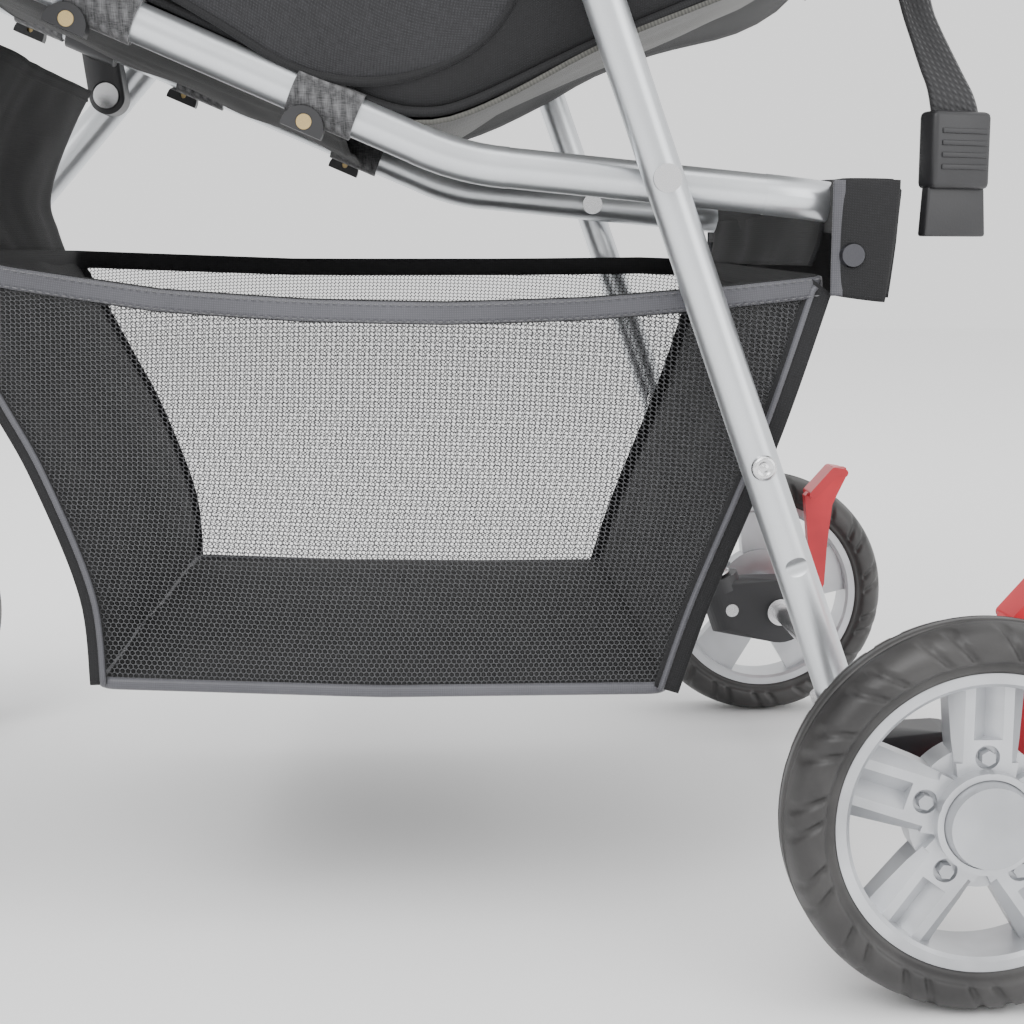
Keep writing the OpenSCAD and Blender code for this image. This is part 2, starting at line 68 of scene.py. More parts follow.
axle_low, axle_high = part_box("rear_axle")
AXLE_Y = (axle_low.y + axle_high.y) / 2
AXLE_Z = (axle_low.z + axle_high.z) / 2
CABIN_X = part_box("cabin_shell")[1].x
BASKET_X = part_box("basket")[1].x
joint_at = {j["name"]: j for j in frame["joints"]}
HUB = Vector(joint_at["canopy_fold"]["pos_m"])


def at(s, z, x=0.0):
    """Point given in millimetres: forward of the rear axle, above the ground, across."""
    return Vector((x * MM, AXLE_Y - s * MM, z * MM))


# ---- materials ----------------------------------------------------------


class Nodes:
    """Small helper that adds shader nodes and joins them."""

    def __init__(self, name):
        self.material = bpy.data.materials.new(name)
        self.material.use_nodes = True
        self.tree = self.material.node_tree
        self.shader = self.tree.nodes["Principled BSDF"]
        self.coords = self.tree.nodes.new("ShaderNodeTexCoord")

    def new(self, kind, **settings):
        node = self.tree.nodes.new("ShaderNode" + kind)
        for key, value in settings.items():
            setattr(node, key, value)
        return node

    def join(self, source, target):
        self.tree.links.new(source, target)

    def math(self, operation, a, b=None):
        node = self.new("Math", operation=operation)
        for socket, value in zip(node.inputs, (a, b)):
            if value is None:
                continue
            if isinstance(value, (int, float)):
                socket.default_value = value
            else:
                self.join(value, socket)
        return node.outputs[0]

    def place(self, space, scale, turn=0.0):
        """Coordinates in the given space, scaled per axis."""
        mapping = self.new("Mapping")
        mapping.inputs["Scale"].default_value = scale if hasattr(scale, "__len__") else (scale,) * 3
        mapping.inputs["Rotation"].default_value = (0, 0, turn)
        self.join(self.coords.outputs[space], mapping.inputs["Vector"])
        return mapping.outputs[0]

    def noise(self, vector, scale, detail=3.0, rough=0.55):
        node = self.new("TexNoise")
        node.inputs["Scale"].default_value = scale
        node.inputs["Detail"].default_value = detail
        node.inputs["Roughness"].default_value = rough
        self.join(vector, node.inputs["Vector"])
        return node.outputs["Fac"]

    def wave(self, vector, scale, direction="X", distortion=0.0):
        node = self.new("TexWave", bands_direction=direction)
        node.inputs["Scale"].default_value = scale
        node.inputs["Distortion"].default_value = distortion
        self.join(vector, node.inputs["Vector"])
        return node.outputs["Fac"]

    def ramp(self, fac, stops):
        node = self.new("ValToRGB")
        elements = node.color_ramp.elements
        while len(elements) < len(stops):
            elements.new(0.5)
        for element, (position, colour) in zip(elements, stops):
            element.position = position
            element.color = (*colour, 1.0)
        self.join(fac, node.inputs["Fac"])
        return node.outputs["Color"]

    def bump(self, height, distance, strength=1.0, under=None):
        node = self.new("Bump")
        node.inputs["Distance"].default_value = distance
        node.inputs["Strength"].default_value = strength
        self.join(height, node.inputs["Height"])
        if under is not None:
            self.join(under, node.inputs["Normal"])
        return node.outputs["Normal"]

    def set(self, **values):
        for key, value in values.items():
            self.shader.inputs[key.replace("_", " ")].default_value = value


def shade(colour, factor):
    return tuple(min(1.0, c * factor) for c in colour)


def painted_metal(name, colour, rough=0.3, metallic=0.85):
    """Satin silver paint: fine flake, faint long streaks and a slightly uneven gloss."""
    n = Nodes(name)
    flake = n.noise(n.place("Object", 2600), 1.0, 2.0)
    cloud = n.noise(n.place("Object", 14), 1.0, 4.0)
    mixed = n.math("ADD", n.math("MULTIPLY", flake, 0.35), n.math("MULTIPLY", cloud, 0.65))
    n.join(n.ramp(mixed, [(0.25, shade(colour, 0.88)), (0.75, shade(colour, 1.1))]),
           n.shader.inputs["Base Color"])
    rough_map = n.new("MapRange")
    rough_map.inputs["To Min"].default_value = rough - 0.06
    rough_map.inputs["To Max"].default_value = rough + 0.1
    n.join(cloud, rough_map.inputs["Value"])
    n.join(rough_map.outputs[0], n.shader.inputs["Roughness"])
    n.join(n.bump(flake, 0.00002, 0.5), n.shader.inputs["Normal"])
    n.set(Metallic=metallic)
    return n.material


def brushed_metal(name, colour, rough=0.26):
    """Plated steel with fine turning marks."""
    n = Nodes(name)
    lines = n.noise(n.place("Object", (400, 5200, 5200)), 1.0, 2.0)
    n.join(n.ramp(lines, [(0.3, shade(colour, 0.8)), (0.7, shade(colour, 1.1))]),
           n.shader.inputs["Base Color"])
    n.join(n.bump(lines, 0.00003, 0.6), n.shader.inputs["Normal"])
    n.set(Metallic=1.0, Roughness=rough)
    return n.material


def moulded(name, colour, rough=0.42, grain=900, depth=0.00006):
    """Moulded plastic: spark-eroded grain and soft tone changes that vary at random."""
    n = Nodes(name)
    fine = n.noise(n.place("Object", grain), 1.0, 3.0)
    broad = n.noise(n.place("Object", 22), 1.0, 3.0)
    n.join(n.ramp(broad, [(0.3, shade(colour, 0.8)), (0.75, shade(colour, 1.3))]),
           n.shader.inputs["Base Color"])
    n.join(n.bump(fine, depth, 0.7), n.shader.inputs["Normal"])
    spread = n.new("MapRange")
    spread.inputs["To Min"].default_value = rough - 0.07
    spread.inputs["To Max"].default_value = rough + 0.09
    n.join(broad, spread.inputs["Value"])
    n.join(spread.outputs[0], n.shader.inputs["Roughness"])
    return n.material


def woven(name, dark, light, thread=0.0006, rough=0.85, melange=0.5, space="UV", depth=0.00012, sheen=0.25):
    """Plain weave. Coordinates are metres, so thread is the real pitch of the yarn."""
    n = Nodes(name)
    place = n.place(space, 1.0)
    scale = 1.0 / (thread * 20.0)
    warp = n.wave(place, scale * 3.1, "X")
    weft = n.wave(place, scale * 3.1, "Y")
    cross = n.math("MULTIPLY", warp, weft)
    yarn_a = n.noise(n.place(space, (240, 2600, 240)), 1.0, 2.0)
    yarn_b = n.noise(n.place(space, (2600, 240, 2600)), 1.0, 2.0)
    yarn = n.math("MULTIPLY", n.math("ADD", yarn_a, yarn_b), 0.5)
    cloud = n.noise(n.place(space, 9), 1.0, 4.0)
    tone = n.math("ADD", n.math("MULTIPLY", yarn, melange), n.math("MULTIPLY", cloud, 1.0 - melange))
    tone = n.math("ADD", n.math("MULTIPLY", cross, 0.18), n.math("MULTIPLY", tone, 0.82))
    n.join(n.ramp(tone, [(0.32, dark), (0.62, light)]), n.shader.inputs["Base Color"])
    n.join(n.bump(cross, depth, 0.9, n.bump(yarn, depth, 0.4)), n.shader.inputs["Normal"])
    n.set(Roughness=rough, Sheen_Weight=sheen, Sheen_Roughness=0.45)
    return n.material


def net(name, colour, pitch=0.0032, thread=0.30, rough=0.7):
    """Open hexagon netting: round holes on a staggered grid, cut out of UV space in metres."""
    n = Nodes(name)
    scaled = n.place("UV", (1 / pitch, 1 / (pitch * 1.732), 1.0))
    gaps = []
    for shift in (0.0, 0.5):
        moved = n.new("VectorMath", operation="ADD")
        n.join(scaled, moved.inputs[0])
        moved.inputs[1].default_value = (shift, shift, 0)
        cell = n.new("VectorMath", operation="FRACTION")
        n.join(moved.outputs[0], cell.inputs[0])
        parts = n.new("SeparateXYZ")
        n.join(cell.outputs[0], parts.inputs[0])
        dx = n.math("SUBTRACT", parts.outputs[0], 0.5)
        dy = n.math("MULTIPLY", n.math("SUBTRACT", parts.outputs[1], 0.5), 1.732)
        squares = n.math("ADD", n.math("MULTIPLY", dx, dx), n.math("MULTIPLY", dy, dy))
        gaps.append(n.math("SQRT", squares))
    away = n.math("MINIMUM", gaps[0], gaps[1])
    solid = n.new("MapRange")
    solid.inputs["From Min"].default_value = 0.5 - thread / 2 - 0.03
    solid.inputs["From Max"].default_value = 0.5 - thread / 2 + 0.03
    n.join(away, solid.inputs["Value"])
    n.join(solid.outputs[0], n.shader.inputs["Alpha"])
    yarn = n.noise(n.place("UV", 1500), 1.0, 2.0)
    n.join(n.ramp(yarn, [(0.3, shade(colour, 0.7)), (0.7, shade(colour, 1.5))]),
           n.shader.inputs["Base Color"])
    n.join(n.bump(away, 0.0004, 0.8), n.shader.inputs["Normal"])
    n.set(Roughness=rough, Sheen_Weight=0.15)
    return n.material


def tyre_rubber(name):
    n = Nodes(name)
    fine = n.noise(n.place("Object", 700), 1.0, 4.0)
    dust = n.noise(n.place("Object", 30), 1.0, 5.0)
    n.join(n.ramp(dust, [(0.35, (0.020, 0.019, 0.019)), (0.75, (0.055, 0.053, 0.052))]),
           n.shader.inputs["Base Color"])
    n.join(n.bump(fine, 0.0001, 0.6), n.shader.inputs["Normal"])
    n.set(Roughness=0.46)
    return n.material


SILVER = painted_metal("silver_paint", (0.66, 0.68, 0.70))
PLATED = brushed_metal("plated_steel", (0.74, 0.74, 0.75))
BRASS = brushed_metal("brass", (0.58, 0.44, 0.22), 0.36)
BLACK_PLASTIC = moulded("black_plastic", (0.022, 0.022, 0.024))
TRAY_PLASTIC = moulded("tray_plastic", (0.03, 0.03, 0.033), 0.5, 700, 0.0001)
FOAM = moulded("grip_foam", (0.02, 0.02, 0.021), 0.85, 1400, 0.0002)
RED = moulded("brake_red", (0.60, 0.022, 0.035), 0.3, 1200, 0.00003)
RIM = moulded("rim_silver", (0.50, 0.51, 0.53), 0.32, 1800, 0.00002)
RIM.node_tree.nodes["Principled BSDF"].inputs["Metallic"].default_value = 0.55
CAP = moulded("cap_grey", (0.40, 0.41, 0.43), 0.38, 1800, 0.00002)
CAP.node_tree.nodes["Principled BSDF"].inputs["Metallic"].default_value = 0.4
TYRE = tyre_rubber("tyre_rubber")
HEATHER = woven("charcoal_heather", (0.007, 0.007, 0.008), (0.034, 0.034, 0.038), melange=0.8, sheen=0.12)
BLACK_CLOTH = woven("black_cloth", (0.004, 0.004, 0.0045), (0.014, 0.014, 0.016), 0.0005, melange=0.5,
                    sheen=0.05)
UNDER_CLOTH = woven("underside_cloth", (0.05, 0.05, 0.046), (0.12, 0.117, 0.105), 0.0007, melange=0.4)
SATIN = woven("grey_satin", (0.050, 0.050, 0.058), (0.105, 0.105, 0.120), 0.00045, 0.45, 0.3, depth=0.00005)
WEBBING = woven("webbing", (0.008, 0.008, 0.009), (0.035, 0.035, 0.038), 0.0016, 0.7, 0.3, depth=0.0005)
FLECKED = woven("flecked_strap", (0.012, 0.012, 0.013), (0.16, 0.16, 0.165), 0.0022, 0.8, 0.8, "Object",
                0.0006)
PAD = woven("pad_plush", (0.16, 0.16, 0.165), (0.32, 0.32, 0.325), 0.0012, 0.95, 0.6, "Object", 0.0004, 0.6)
THREAD = woven("thread", (0.1, 0.1, 0.105), (0.2, 0.2, 0.21), 0.0004, 0.7, 0.4, "Object")
NET = net("black_net", (0.035, 0.035, 0.038), 0.0022, 0.15)
DARK_METAL = brushed_metal("dark_snap", (0.10, 0.10, 0.11), 0.35)

NODE_LOOKS = {
    SILVER: ["front_leg_left", "front_leg_right", "handle_tube", "front_crossbar", "seat_tube",
             "rear_leg_left", "rear_leg_right"],
    PLATED: ["seat_pivot_pins", "frame_rivets", "collar_pin_left", "collar_pin_right", "leg_rivets",
             "leg_caps", "rear_axle", "axle_washers", "bracket_screws", "rear_springs",
             "front_axle_left", "front_axle_right"],
    DARK_METAL: ["flap_snaps"],
    BRASS: ["clip_screws"],
    FOAM: ["handle_grip"],
    BLACK_PLASTIC: ["leg_sleeves", "caster_housings", "leg_clips", "strap_clips", "canopy_hubs",
                    "strap_buckle", "slide_collar_left", "slide_collar_right", "rear_bracket_left",
                    "rear_bracket_right", "caster_fork_left", "caster_fork_right", "canopy_bow_front",
                    "canopy_bow_middle", "canopy_bow_rear"],
    TRAY_PLASTIC: ["cup_tray"],
    RED: ["brake_pedal_left", "brake_pedal_right"],
    RIM: ["rear_rim_left", "rear_rim_right", "front_rim_left", "front_rim_right"],
    CAP: ["rear_cap_left", "rear_cap_right"],
    TYRE: ["rear_tyre_left", "rear_tyre_right", "front_tyre_left", "front_tyre_right"],
    FLECKED: ["woven_loops"],
}
for material, names in NODE_LOOKS.items():
    for node_name in names:
        mesh = frame["nodes"][node_name].data
        mesh.materials.clear()
        mesh.materials.append(material)


# ---- mesh helpers ---------------------------------------------------------


def add_object(name, verts, faces, material, uvs=None, smooth=True):
    mesh = bpy.data.meshes.new(name)
    mesh.from_pydata([tuple(v) for v in verts], [], faces)
    mesh.validate()
    mesh.materials.append(material)
    if uvs is not None:
        layer = mesh.uv_layers.new(name="UVMap")
        for loop in mesh.loops:
            layer.data[loop.index].uv = uvs[loop.vertex_index]
    for polygon in mesh.polygons:
        polygon.use_smooth = smooth
    obj = bpy.data.objects.new(name, mesh)
    bpy.context.scene.collection.objects.link(obj)
    return obj


def sheet_grid(name, point, columns, rows, material, thick=0.0, levels=0):
    """Surface through point(u, v), with UVs in metres along it and an even thickness."""
    table = [[point(i / columns, j / rows) for i in range(columns + 1)] for j in range(rows + 1)]
    verts = [p for row in table for p in row]
    width = columns + 1
    faces = []
    for j in range(rows):
        for i in range(columns):
            a = j * width + i
            faces.append((a, a + 1, a + 1 + width, a + width))
    uvs = []
    down = [0.0] * width
    for j, row in enumerate(table):
        run = 0.0
        for i, p in enumerate(row):
            if i:
                run += (p - row[i - 1]).length
            if j:
                down[i] += (p - table[j - 1][i]).length
            uvs.append((run, down[i]))
    obj = add_object(name, verts, faces, material, uvs)
    if levels:
        modifier = obj.modifiers.new("smooth", "SUBSURF")
        modifier.levels = modifier.render_levels = levels
    if thick:
        modifier = obj.modifiers.new("thickness", "SOLIDIFY")
        modifier.thickness = thick
        modifier.offset = 0.0
    return obj


def smooth_line(points, per_span=8, closed=False):
    """Catmull-Rom line through the points."""
    count = len(points)
    out = []
    spans = count if closed else count - 1
    for i in range(spans):
        if closed:
            p = [points[(i + k - 1) % count] for k in range(4)]
        else:
            p = [points[min(max(i + k - 1, 0), count - 1)] for k in range(4)]
        for step in range(per_span):
            t = step / per_span
            out.append(0.5 * ((2 * p[1]) + (p[2] - p[0]) * t + (2 * p[0] - 5 * p[1] + 4 * p[2] - p[3]) * t * t
                              + (3 * p[1] - p[0] - 3 * p[2] + p[3]) * t ** 3))
    if not closed:
        out.append(points[-1].copy())
    return out


def even_line(points, count):
    """The polyline resampled to count + 1 evenly spaced points."""
    lengths = [0.0]
    for a, b in zip(points, points[1:]):
        lengths.append(lengths[-1] + (b - a).length)
    total = lengths[-1]
    out = []
    k = 0
    for i in range(count + 1):
        want = total * i / count
        while k < len(lengths) - 2 and lengths[k + 1] < want:
            k += 1
        span = max(lengths[k + 1] - lengths[k], 1e-9)
        out.append(points[k].lerp(points[k + 1], min(1.0, max(0.0, (want - lengths[k]) / span))))
    return out


def sweep(name, line, profile, material, closed=False, normal=Vector((1, 0, 0)), smooth=True, caps=True):
    """A closed profile of (across, out) pairs in metres, swept along a line. normal is roughly 'out'."""
    verts, uvs, faces = [], [], []
    count, m = len(line), len(profile)
    run = 0.0
    for i, p in enumerate(line):
        if closed:
            ahead = line[(i + 1) % count] - line[i - 1]
        else:
            ahead = line[min(i + 1, count - 1)] - line[max(i - 1, 0)]
        along = ahead.normalized()
        wanted = normal(i) if callable(normal) else normal
        out = (wanted - along * wanted.dot(along)).normalized()
        side = along.cross(out).normalized()
        if i:
            run += (p - line[i - 1]).length
        girth = 0.0
        for k, (a, b) in enumerate(profile):
            verts.append(p + side * a + out * b)
            if k:
                girth += math.dist(profile[k], profile[k - 1])
            uvs.append((run, girth))
    rings = count if closed else count - 1
    for i in range(rings):
        for k in range(m):
            a = i * m + k
            b = i * m + (k + 1) % m
            c = ((i + 1) % count) * m + (k + 1) % m
            d = ((i + 1) % count) * m + k
            faces.append((a, b, c, d))
    if caps and not closed:
        faces.append(tuple(range(m - 1, -1, -1)))
        faces.append(tuple((count - 1) * m + k for k in range(m)))
    return add_object(name, verts, faces, material, uvs, smooth)


def round_profile(radius, sides=10, flat=1.0):
    return [(radius * math.cos(2 * math.pi * k / sides), flat * radius * math.sin(2 * math.pi * k / sides))
            for k in range(sides)]


def band_profile(width, thick, crown=0.3):
    """Flat band with rounded edges and a slight crown."""
    half, t = width / 2, thick / 2
    return [(-half, 0), (-half * 0.94, -t), (0, -t), (half * 0.94, -t), (half, 0),
            (half * 0.94, t), (half * 0.5, t * (1 + crown * 0.7)), (0, t * (1 + crown)),
            (-half * 0.5, t * (1 + crown * 0.7)), (-half * 0.94, t)]


def stitches(name, line, normal, material=None, pitch=0.0032, length=0.0021, radius=0.00028, lift=0.0):
    """A row of short thread stitches along a line."""
    total = sum((b - a).length for a, b in zip(line, line[1:]))
    steps = max(2, int(total / pitch))
    dots = even_line(line, steps * 2)
    verts, faces = [], []
    for i in range(steps):
        a, b = dots[2 * i], dots[2 * i + 1]
        along = (b - a).normalized()
        out = (normal - along * normal.dot(along)).normalized()
        side = along.cross(out)
        middle = (a + b) / 2 + out * lift
        base = len(verts)
        for end in (-0.5, 0.0, 0.5):
            rise = 0.0 if end else radius * 0.9
            for k in range(6):
                angle = math.pi * 2 * k / 6
                squeeze = 0.4 if end else 1.0
                verts.append(middle + along * end * length + side * math.cos(angle) * radius * squeeze
                             + out * (math.sin(angle) * radius * squeeze + rise))
        for ring in range(2):
            for k in range(6):
                p = base + ring * 6 + k
                q = base + ring * 6 + (k + 1) % 6
                faces.append((p, q, q + 6, p + 6))
        faces.append(tuple(base + k for k in range(5, -1, -1)))
        faces.append(tuple(base + 12 + k for k in range(6)))
    return add_object(name, verts, faces, material or THREAD)


def ripple(p, size, amount, seed=0.0):
    """Smooth repeatable unevenness for cloth."""
    q = Vector((p.x, p.y, p.z)) / size + Vector((seed, seed * 1.7, seed * 0.3))
    return noise.noise(q) * amount


def settle(obj, body, slot_name, *nodes):
    """Joins a finished piece to its body and hides the CAD nodes it replaces; slot_name is not used."""
    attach(obj, body)
    if nodes:
        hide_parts(*nodes)
    return obj

# ---- outlines shared by several pieces --------------------------------------


def line_mm(points, x=0.0, per_span=8):
    return smooth_line([at(s, z, x) for s, z in points], per_span)


def point_on(line, t):
    """Point a share t of the way along an evenly divided line."""
    f = t * (len(line) - 1)
    i = min(int(f), len(line) - 2)
    return line[i].lerp(line[i + 1], f - i)


def coons(bottom, top, left, right):
    """Patch between four lines; left runs bottom to top at u = 0, right at u = 1."""

    def point(u, v):
        ruled = point_on(bottom, u).lerp(point_on(top, u), v) + point_on(left, v).lerp(point_on(right, v), u)
        corners = (bottom[0].lerp(bottom[-1], u)).lerp(top[0].lerp(top[-1], u), v)
        return ruled - corners

    return point


def dome(u, v, power=0.5):
    """0 on the edges of a patch and 1 in its middle."""
    return (max(0.0, 16 * u * (1 - u) * v * (1 - v))) ** power


FLOOR = [(425, 434), (330, 393), (258, 361), (232, 348), (212, 343), (190, 347), (140, 370), (70, 399), (0,
                                                                                                         430)]
RIM_FRONT, RIM_REAR = (486, 575), (-27, 660)


def rim_z(s):
    share = (RIM_FRONT[0] - s) / (RIM_FRONT[0] - RIM_REAR[0])
    return RIM_FRONT[1] + share * (RIM_REAR[1] - RIM_FRONT[1])


def rim_line(s0, s1, x, drop=0.0, count=24):
    return [at(s0 + (s1 - s0) * i / count, rim_z(s0 + (s1 - s0) * i / count) - drop,
               x) for i in range(count + 1)]




def floor_lift(p):
    """The near side of the cabin hangs a little lower than the far one behind the seat."""
    s = (AXLE_Y - p.y) / MM
    behind = min(1.0, max(0.0, (225 - s) / 50))
    return behind * 13 * (0.5 - p.x / (2 * CABIN_X)) * MM


PIPED_EDGE = [(474, 470), (440, 451), (400, 432), (330, 398), (290, 376), (262, 359), (240, 353), (218, 354),
              (196, 362), (181, 374), (171, 392), (165, 424), (162, 480), (160, 560), (159, 627)]
PIPED_CORNER = 7


# ---- cabin ------------------------------------------------------------------


def cabin_sides():
    for side, name in ((1, "right"), (-1, "left")):
        x = CABIN_X / MM - 3.0
        lower = even_line(line_mm(PIPED_EDGE[:PIPED_CORNER + 1], side * x), 60)
        rear = even_line(line_mm(PIPED_EDGE[PIPED_CORNER:], side * x), 60)
        front = even_line(line_mm([(474, 470), (482, 520), RIM_FRONT], side * x), 60)
        top = even_line(rim_line(RIM_FRONT[0], 159, side * x), 60)
        patch = coons(lower, top, front, rear)

        def padded_point(u, v, patch=patch, side=side):
            p = patch(u, v)
            puff = 4.2 * dome(u, v, 0.35) + ripple(p, 0.075, 2.0, side) + ripple(p, 0.03, 0.7, 3 + side)
            tuck = 1.6 * math.exp(-v * 26)
            p.x += side * MM * min(5.4, max(-1.5, puff - tuck))
            return p

        panel = sheet_grid(f"cabin_side_panel_{name}", padded_point, 90, 60, HEATHER, 3.0 * MM)
        settle(panel, "seat_frame", "cabin_fabric")

        edge = line_mm(PIPED_EDGE, side * (x + 0.6))
        piping = sweep(f"cabin_piping_{name}", even_line(edge, 160), round_profile(1.9 * MM), BLACK_CLOTH,
                       normal=Vector((side, 0, 0)))
        settle(piping, "seat_frame", "black_fabric")

        # dark band below the netting
        floor_line = even_line(line_mm(FLOOR, side * (x - 0.5)), 60)
        band_top = [p + Vector((0, 0, 40 * MM)) for p in floor_line]
        band = coons(floor_line, band_top, [floor_line[0], band_top[0]], [floor_line[-1], band_top[-1]])

        def band_point(u, v, band=band, side=side):
            p = band(u, v)
            roll = 4.0 * math.exp(-v * 9)
            p.z += floor_lift(p) * (1 - v)
            p.x += side * MM * (1.6 * dome(u, v, 0.4) + ripple(p, 0.06, 1.2, 7) - roll)
            return p

        settle(sheet_grid(f"cabin_lower_band_{name}", band_point, 90, 14, BLACK_CLOTH, 1.6 * MM),
               "seat_frame", "black_fabric")

        # netting window behind the padded panel
        low = even_line(line_mm([(172, 398), (140, 407), (70, 436), (2, 466)], side * (x - 1)), 30)
        high = rim_line(164, -22, side * (x - 1), 14, 30)
        ahead = even_line(line_mm([(172, 398), (166, 440), (163, 520), (164, rim_z(164) - 14)],
                                  side * (x - 1)), 30)
        behind = even_line(line_mm([(2, 466), (-18, 520), (-25, 590), (-22, rim_z(-22) - 14)],
                                   side * (x - 1)), 30)
        window = coons(low, high, ahead, behind)

        def window_point(u, v, window=window, side=side):
            p = window(u, v)
            p.x -= side * MM * (3.0 * dome(u, v) + ripple(p, 0.08, 1.0, 11))
            return p

        settle(sheet_grid(f"cabin_net_{name}", window_point, 30, 30, NET), "seat_frame", "basket_mesh")
        trim = low + behind
        settle(sweep(f"cabin_net_binding_{name}", even_line(trim, 120), band_profile(9 * MM, 1.4 * MM),
                     BLACK_CLOTH,
                     normal=Vector((side, 0, 0))), "seat_frame", "black_fabric")
        settle(sweep(f"cabin_net_top_{name}", [p + Vector((0, 0, 3 * MM)) for p in high],
                     band_profile(24 * MM, 2.0 * MM), HEATHER, normal=Vector((side, 0, 0))),
               "seat_frame", "cabin_fabric")


def cross_strip(name, outline, material, sag, seed, slot_name, columns=48, thick=2.0, width=None):
    """Fabric strip across the cabin that follows an outline, hanging a little between its edges."""
    half = (width or (CABIN_X / MM - 4.5))
    line = even_line(line_mm(outline), 70)

    def point(u, v):
        f = v * (len(line) - 1)
        i = min(int(f), len(line) - 2)
        p = line[i].lerp(line[i + 1], f - i)
        along = (line[i + 1] - line[i]).normalized()
        out = Vector((0, -along.z, along.y))
        across = 2 * u - 1
        edge = abs(across) ** 7 * 4.0
        p = p + Vector((across * half * MM, 0, 0))
        drop = sag * (1 - across ** 2) + ripple(p, 0.09, 2.2, seed) + ripple(p, 0.035, 0.8, seed + 5) - edge
        if name == "cabin_floor":
            p.z += floor_lift(p)
        return p + out * (drop * MM)

    obj = sheet_grid(name, point, columns, 70, material, thick * MM)
    return settle(obj, "seat_frame", slot_name)


def cabin_body():
    floor = [(s, z) for s, z in FLOOR]
    cross_strip("cabin_floor", floor, UNDER_CLOTH, -5.0, 2.0, "cabin_fabric")
    cross_strip("cabin_front_wall", [RIM_FRONT, (481, 520), (474, 468), (455, 450), (425, 434)], HEATHER, -4,
                4.0,
                "cabin_fabric")
    cross_strip("cabin_rear_wall", [(0, 430), (-16, 480), (-30, 560), RIM_REAR], HEATHER, -4, 6.0,
                "cabin_fabric")
    lining = cross_strip("cabin_lining", [(483, 568), (470, 474), (424, 441), (300, 389), (212, 350), (100,
                                                                                                       396),
                                          (4, 436), (-24, 560), (-22,
                                              655)], BLACK_CLOTH, -1.0, 8.0, "black_fabric",
                         40, 1.0, CABIN_X / MM - 7)
    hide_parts("cabin_shell")
    half = CABIN_X / MM - 2.5
    corners = [(RIM_FRONT[0], half), (RIM_REAR[0], half), (RIM_REAR[0], -half), (RIM_FRONT[0], -half)]
    loop = rounded_loop(corners, 26)
    rim = [at(s, rim_z(s) + 1.0, x) for s, x in loop]
    settle(sweep("cabin_rim_binding", rim, round_profile(4.2 * MM, 12), BLACK_CLOTH, True, Vector((0, 0, 1))),
           "seat_frame", "black_fabric")
    for side in (1, -1):
        seam = [Vector((side * (CABIN_X - 6.5 * MM), p.y, p.z - 1.5 * MM)) for p in even_line(line_mm(FLOOR),
                                                                                              120)]
        seam = [p + Vector((0, 0, floor_lift(p))) for p in seam]
        settle(sweep(f"cabin_floor_seam_{'right' if side > 0 else 'left'}", seam, round_profile(2.0 * MM),
                     BLACK_CLOTH, normal=Vector((side, 0, 0))), "seat_frame", "black_fabric")


def seat_sling():
    """Black cloth between the rails under the front half of the cabin."""
    line = even_line(line_mm([(246, 338), (300, 361), (360, 386), (430, 416)]), 50)

    def point(u, v):
        across = 2 * u - 1
        p = point_on(line, v) + Vector((across * 136 * MM, 0, 0))
        p.z += MM * (ripple(p, 0.05, 3.0,
                            51) * (1 - across ** 6) + 1.5 * math.sin(v * 19 + across * 2) * across ** 2
                     - 1.5 * (1 - across ** 2))
        return p

    settle(sheet_grid("seat_sling", point, 60, 50, BLACK_CLOTH, 1.2 * MM), "seat_frame", "black_fabric")
    for k, v in enumerate((0.01, 0.99)):
        hem = [point(i / 60, v) for i in range(61)]
        settle(sweep(f"seat_sling_hem_{k}", hem, round_profile(1.8 * MM, 10, 0.6), BLACK_CLOTH,
                     normal=Vector((0, 0, 1))), "seat_frame", "black_fabric")


def rounded_loop(corners, radius, steps=6):
    """Closed loop of (a, b) pairs with rounded corners and long sides split up."""
    out = []
    count = len(corners)
    for i in range(count):
        before, here, after = Vector(corners[i - 1]), Vector(corners[i]), Vector(corners[(i + 1) % count])
        start = here + (before - here).normalized() * radius
        end = here + (after - here).normalized() * radius
        for k in range(steps + 1):
            t = k / steps
            out.append((1 - t) ** 2 * start + 2 * t * (1 - t) * here + t * t * end)
        following = Vector(corners[(i + 1) % count])
        stop = following + (here - following).normalized() * radius
        for k in range(1, 12):
            out.append(end.lerp(stop, k / 12))
    return [(p.x, p.y) for p in out]


# ---- canopy -------------------------------------------------------------------

BOW_ANGLES = {"front": 39.5, "middle": 86.0, "rear": 146.0}


def canopy_reach(angle):
    """Distance of the canopy's crown from the hub, at an angle from forward, in millimetres."""
    t = (angle - 39.5) / (174.0 - 39.5)
    taut = 252 - 16 * t - 20 * t * t
    dips = 1.0
    for bow in BOW_ANGLES.values():
        dips *= min(1.0, abs(angle - bow) / 22.0) ** 0.8
    return taut - 9.0 * dips


def hoop(t, reach, half, corner):
    """Point (across, out) on an arch from the left hub to the right one, t from 0 to 1."""
    side = reach - corner
    arc = corner * math.pi / 2
    top = 2 * (half - corner)
    total = 2 * side + 2 * arc + top
    d = t * total
    if d < side:
        return -half, d
    d -= side
    if d < arc:
        a = d / corner
        return -half + corner * (1 - math.cos(a)), side + corner * math.sin(a)
    d -= arc
    if d < top:
        return -half + corner + d, reach + 5.0 * math.sin(math.pi * d / top)
    d -= top
    if d < arc:
        a = d / corner
        return half - corner + corner * math.sin(a), side + corner * math.cos(a)
    return half, side - (d - arc)


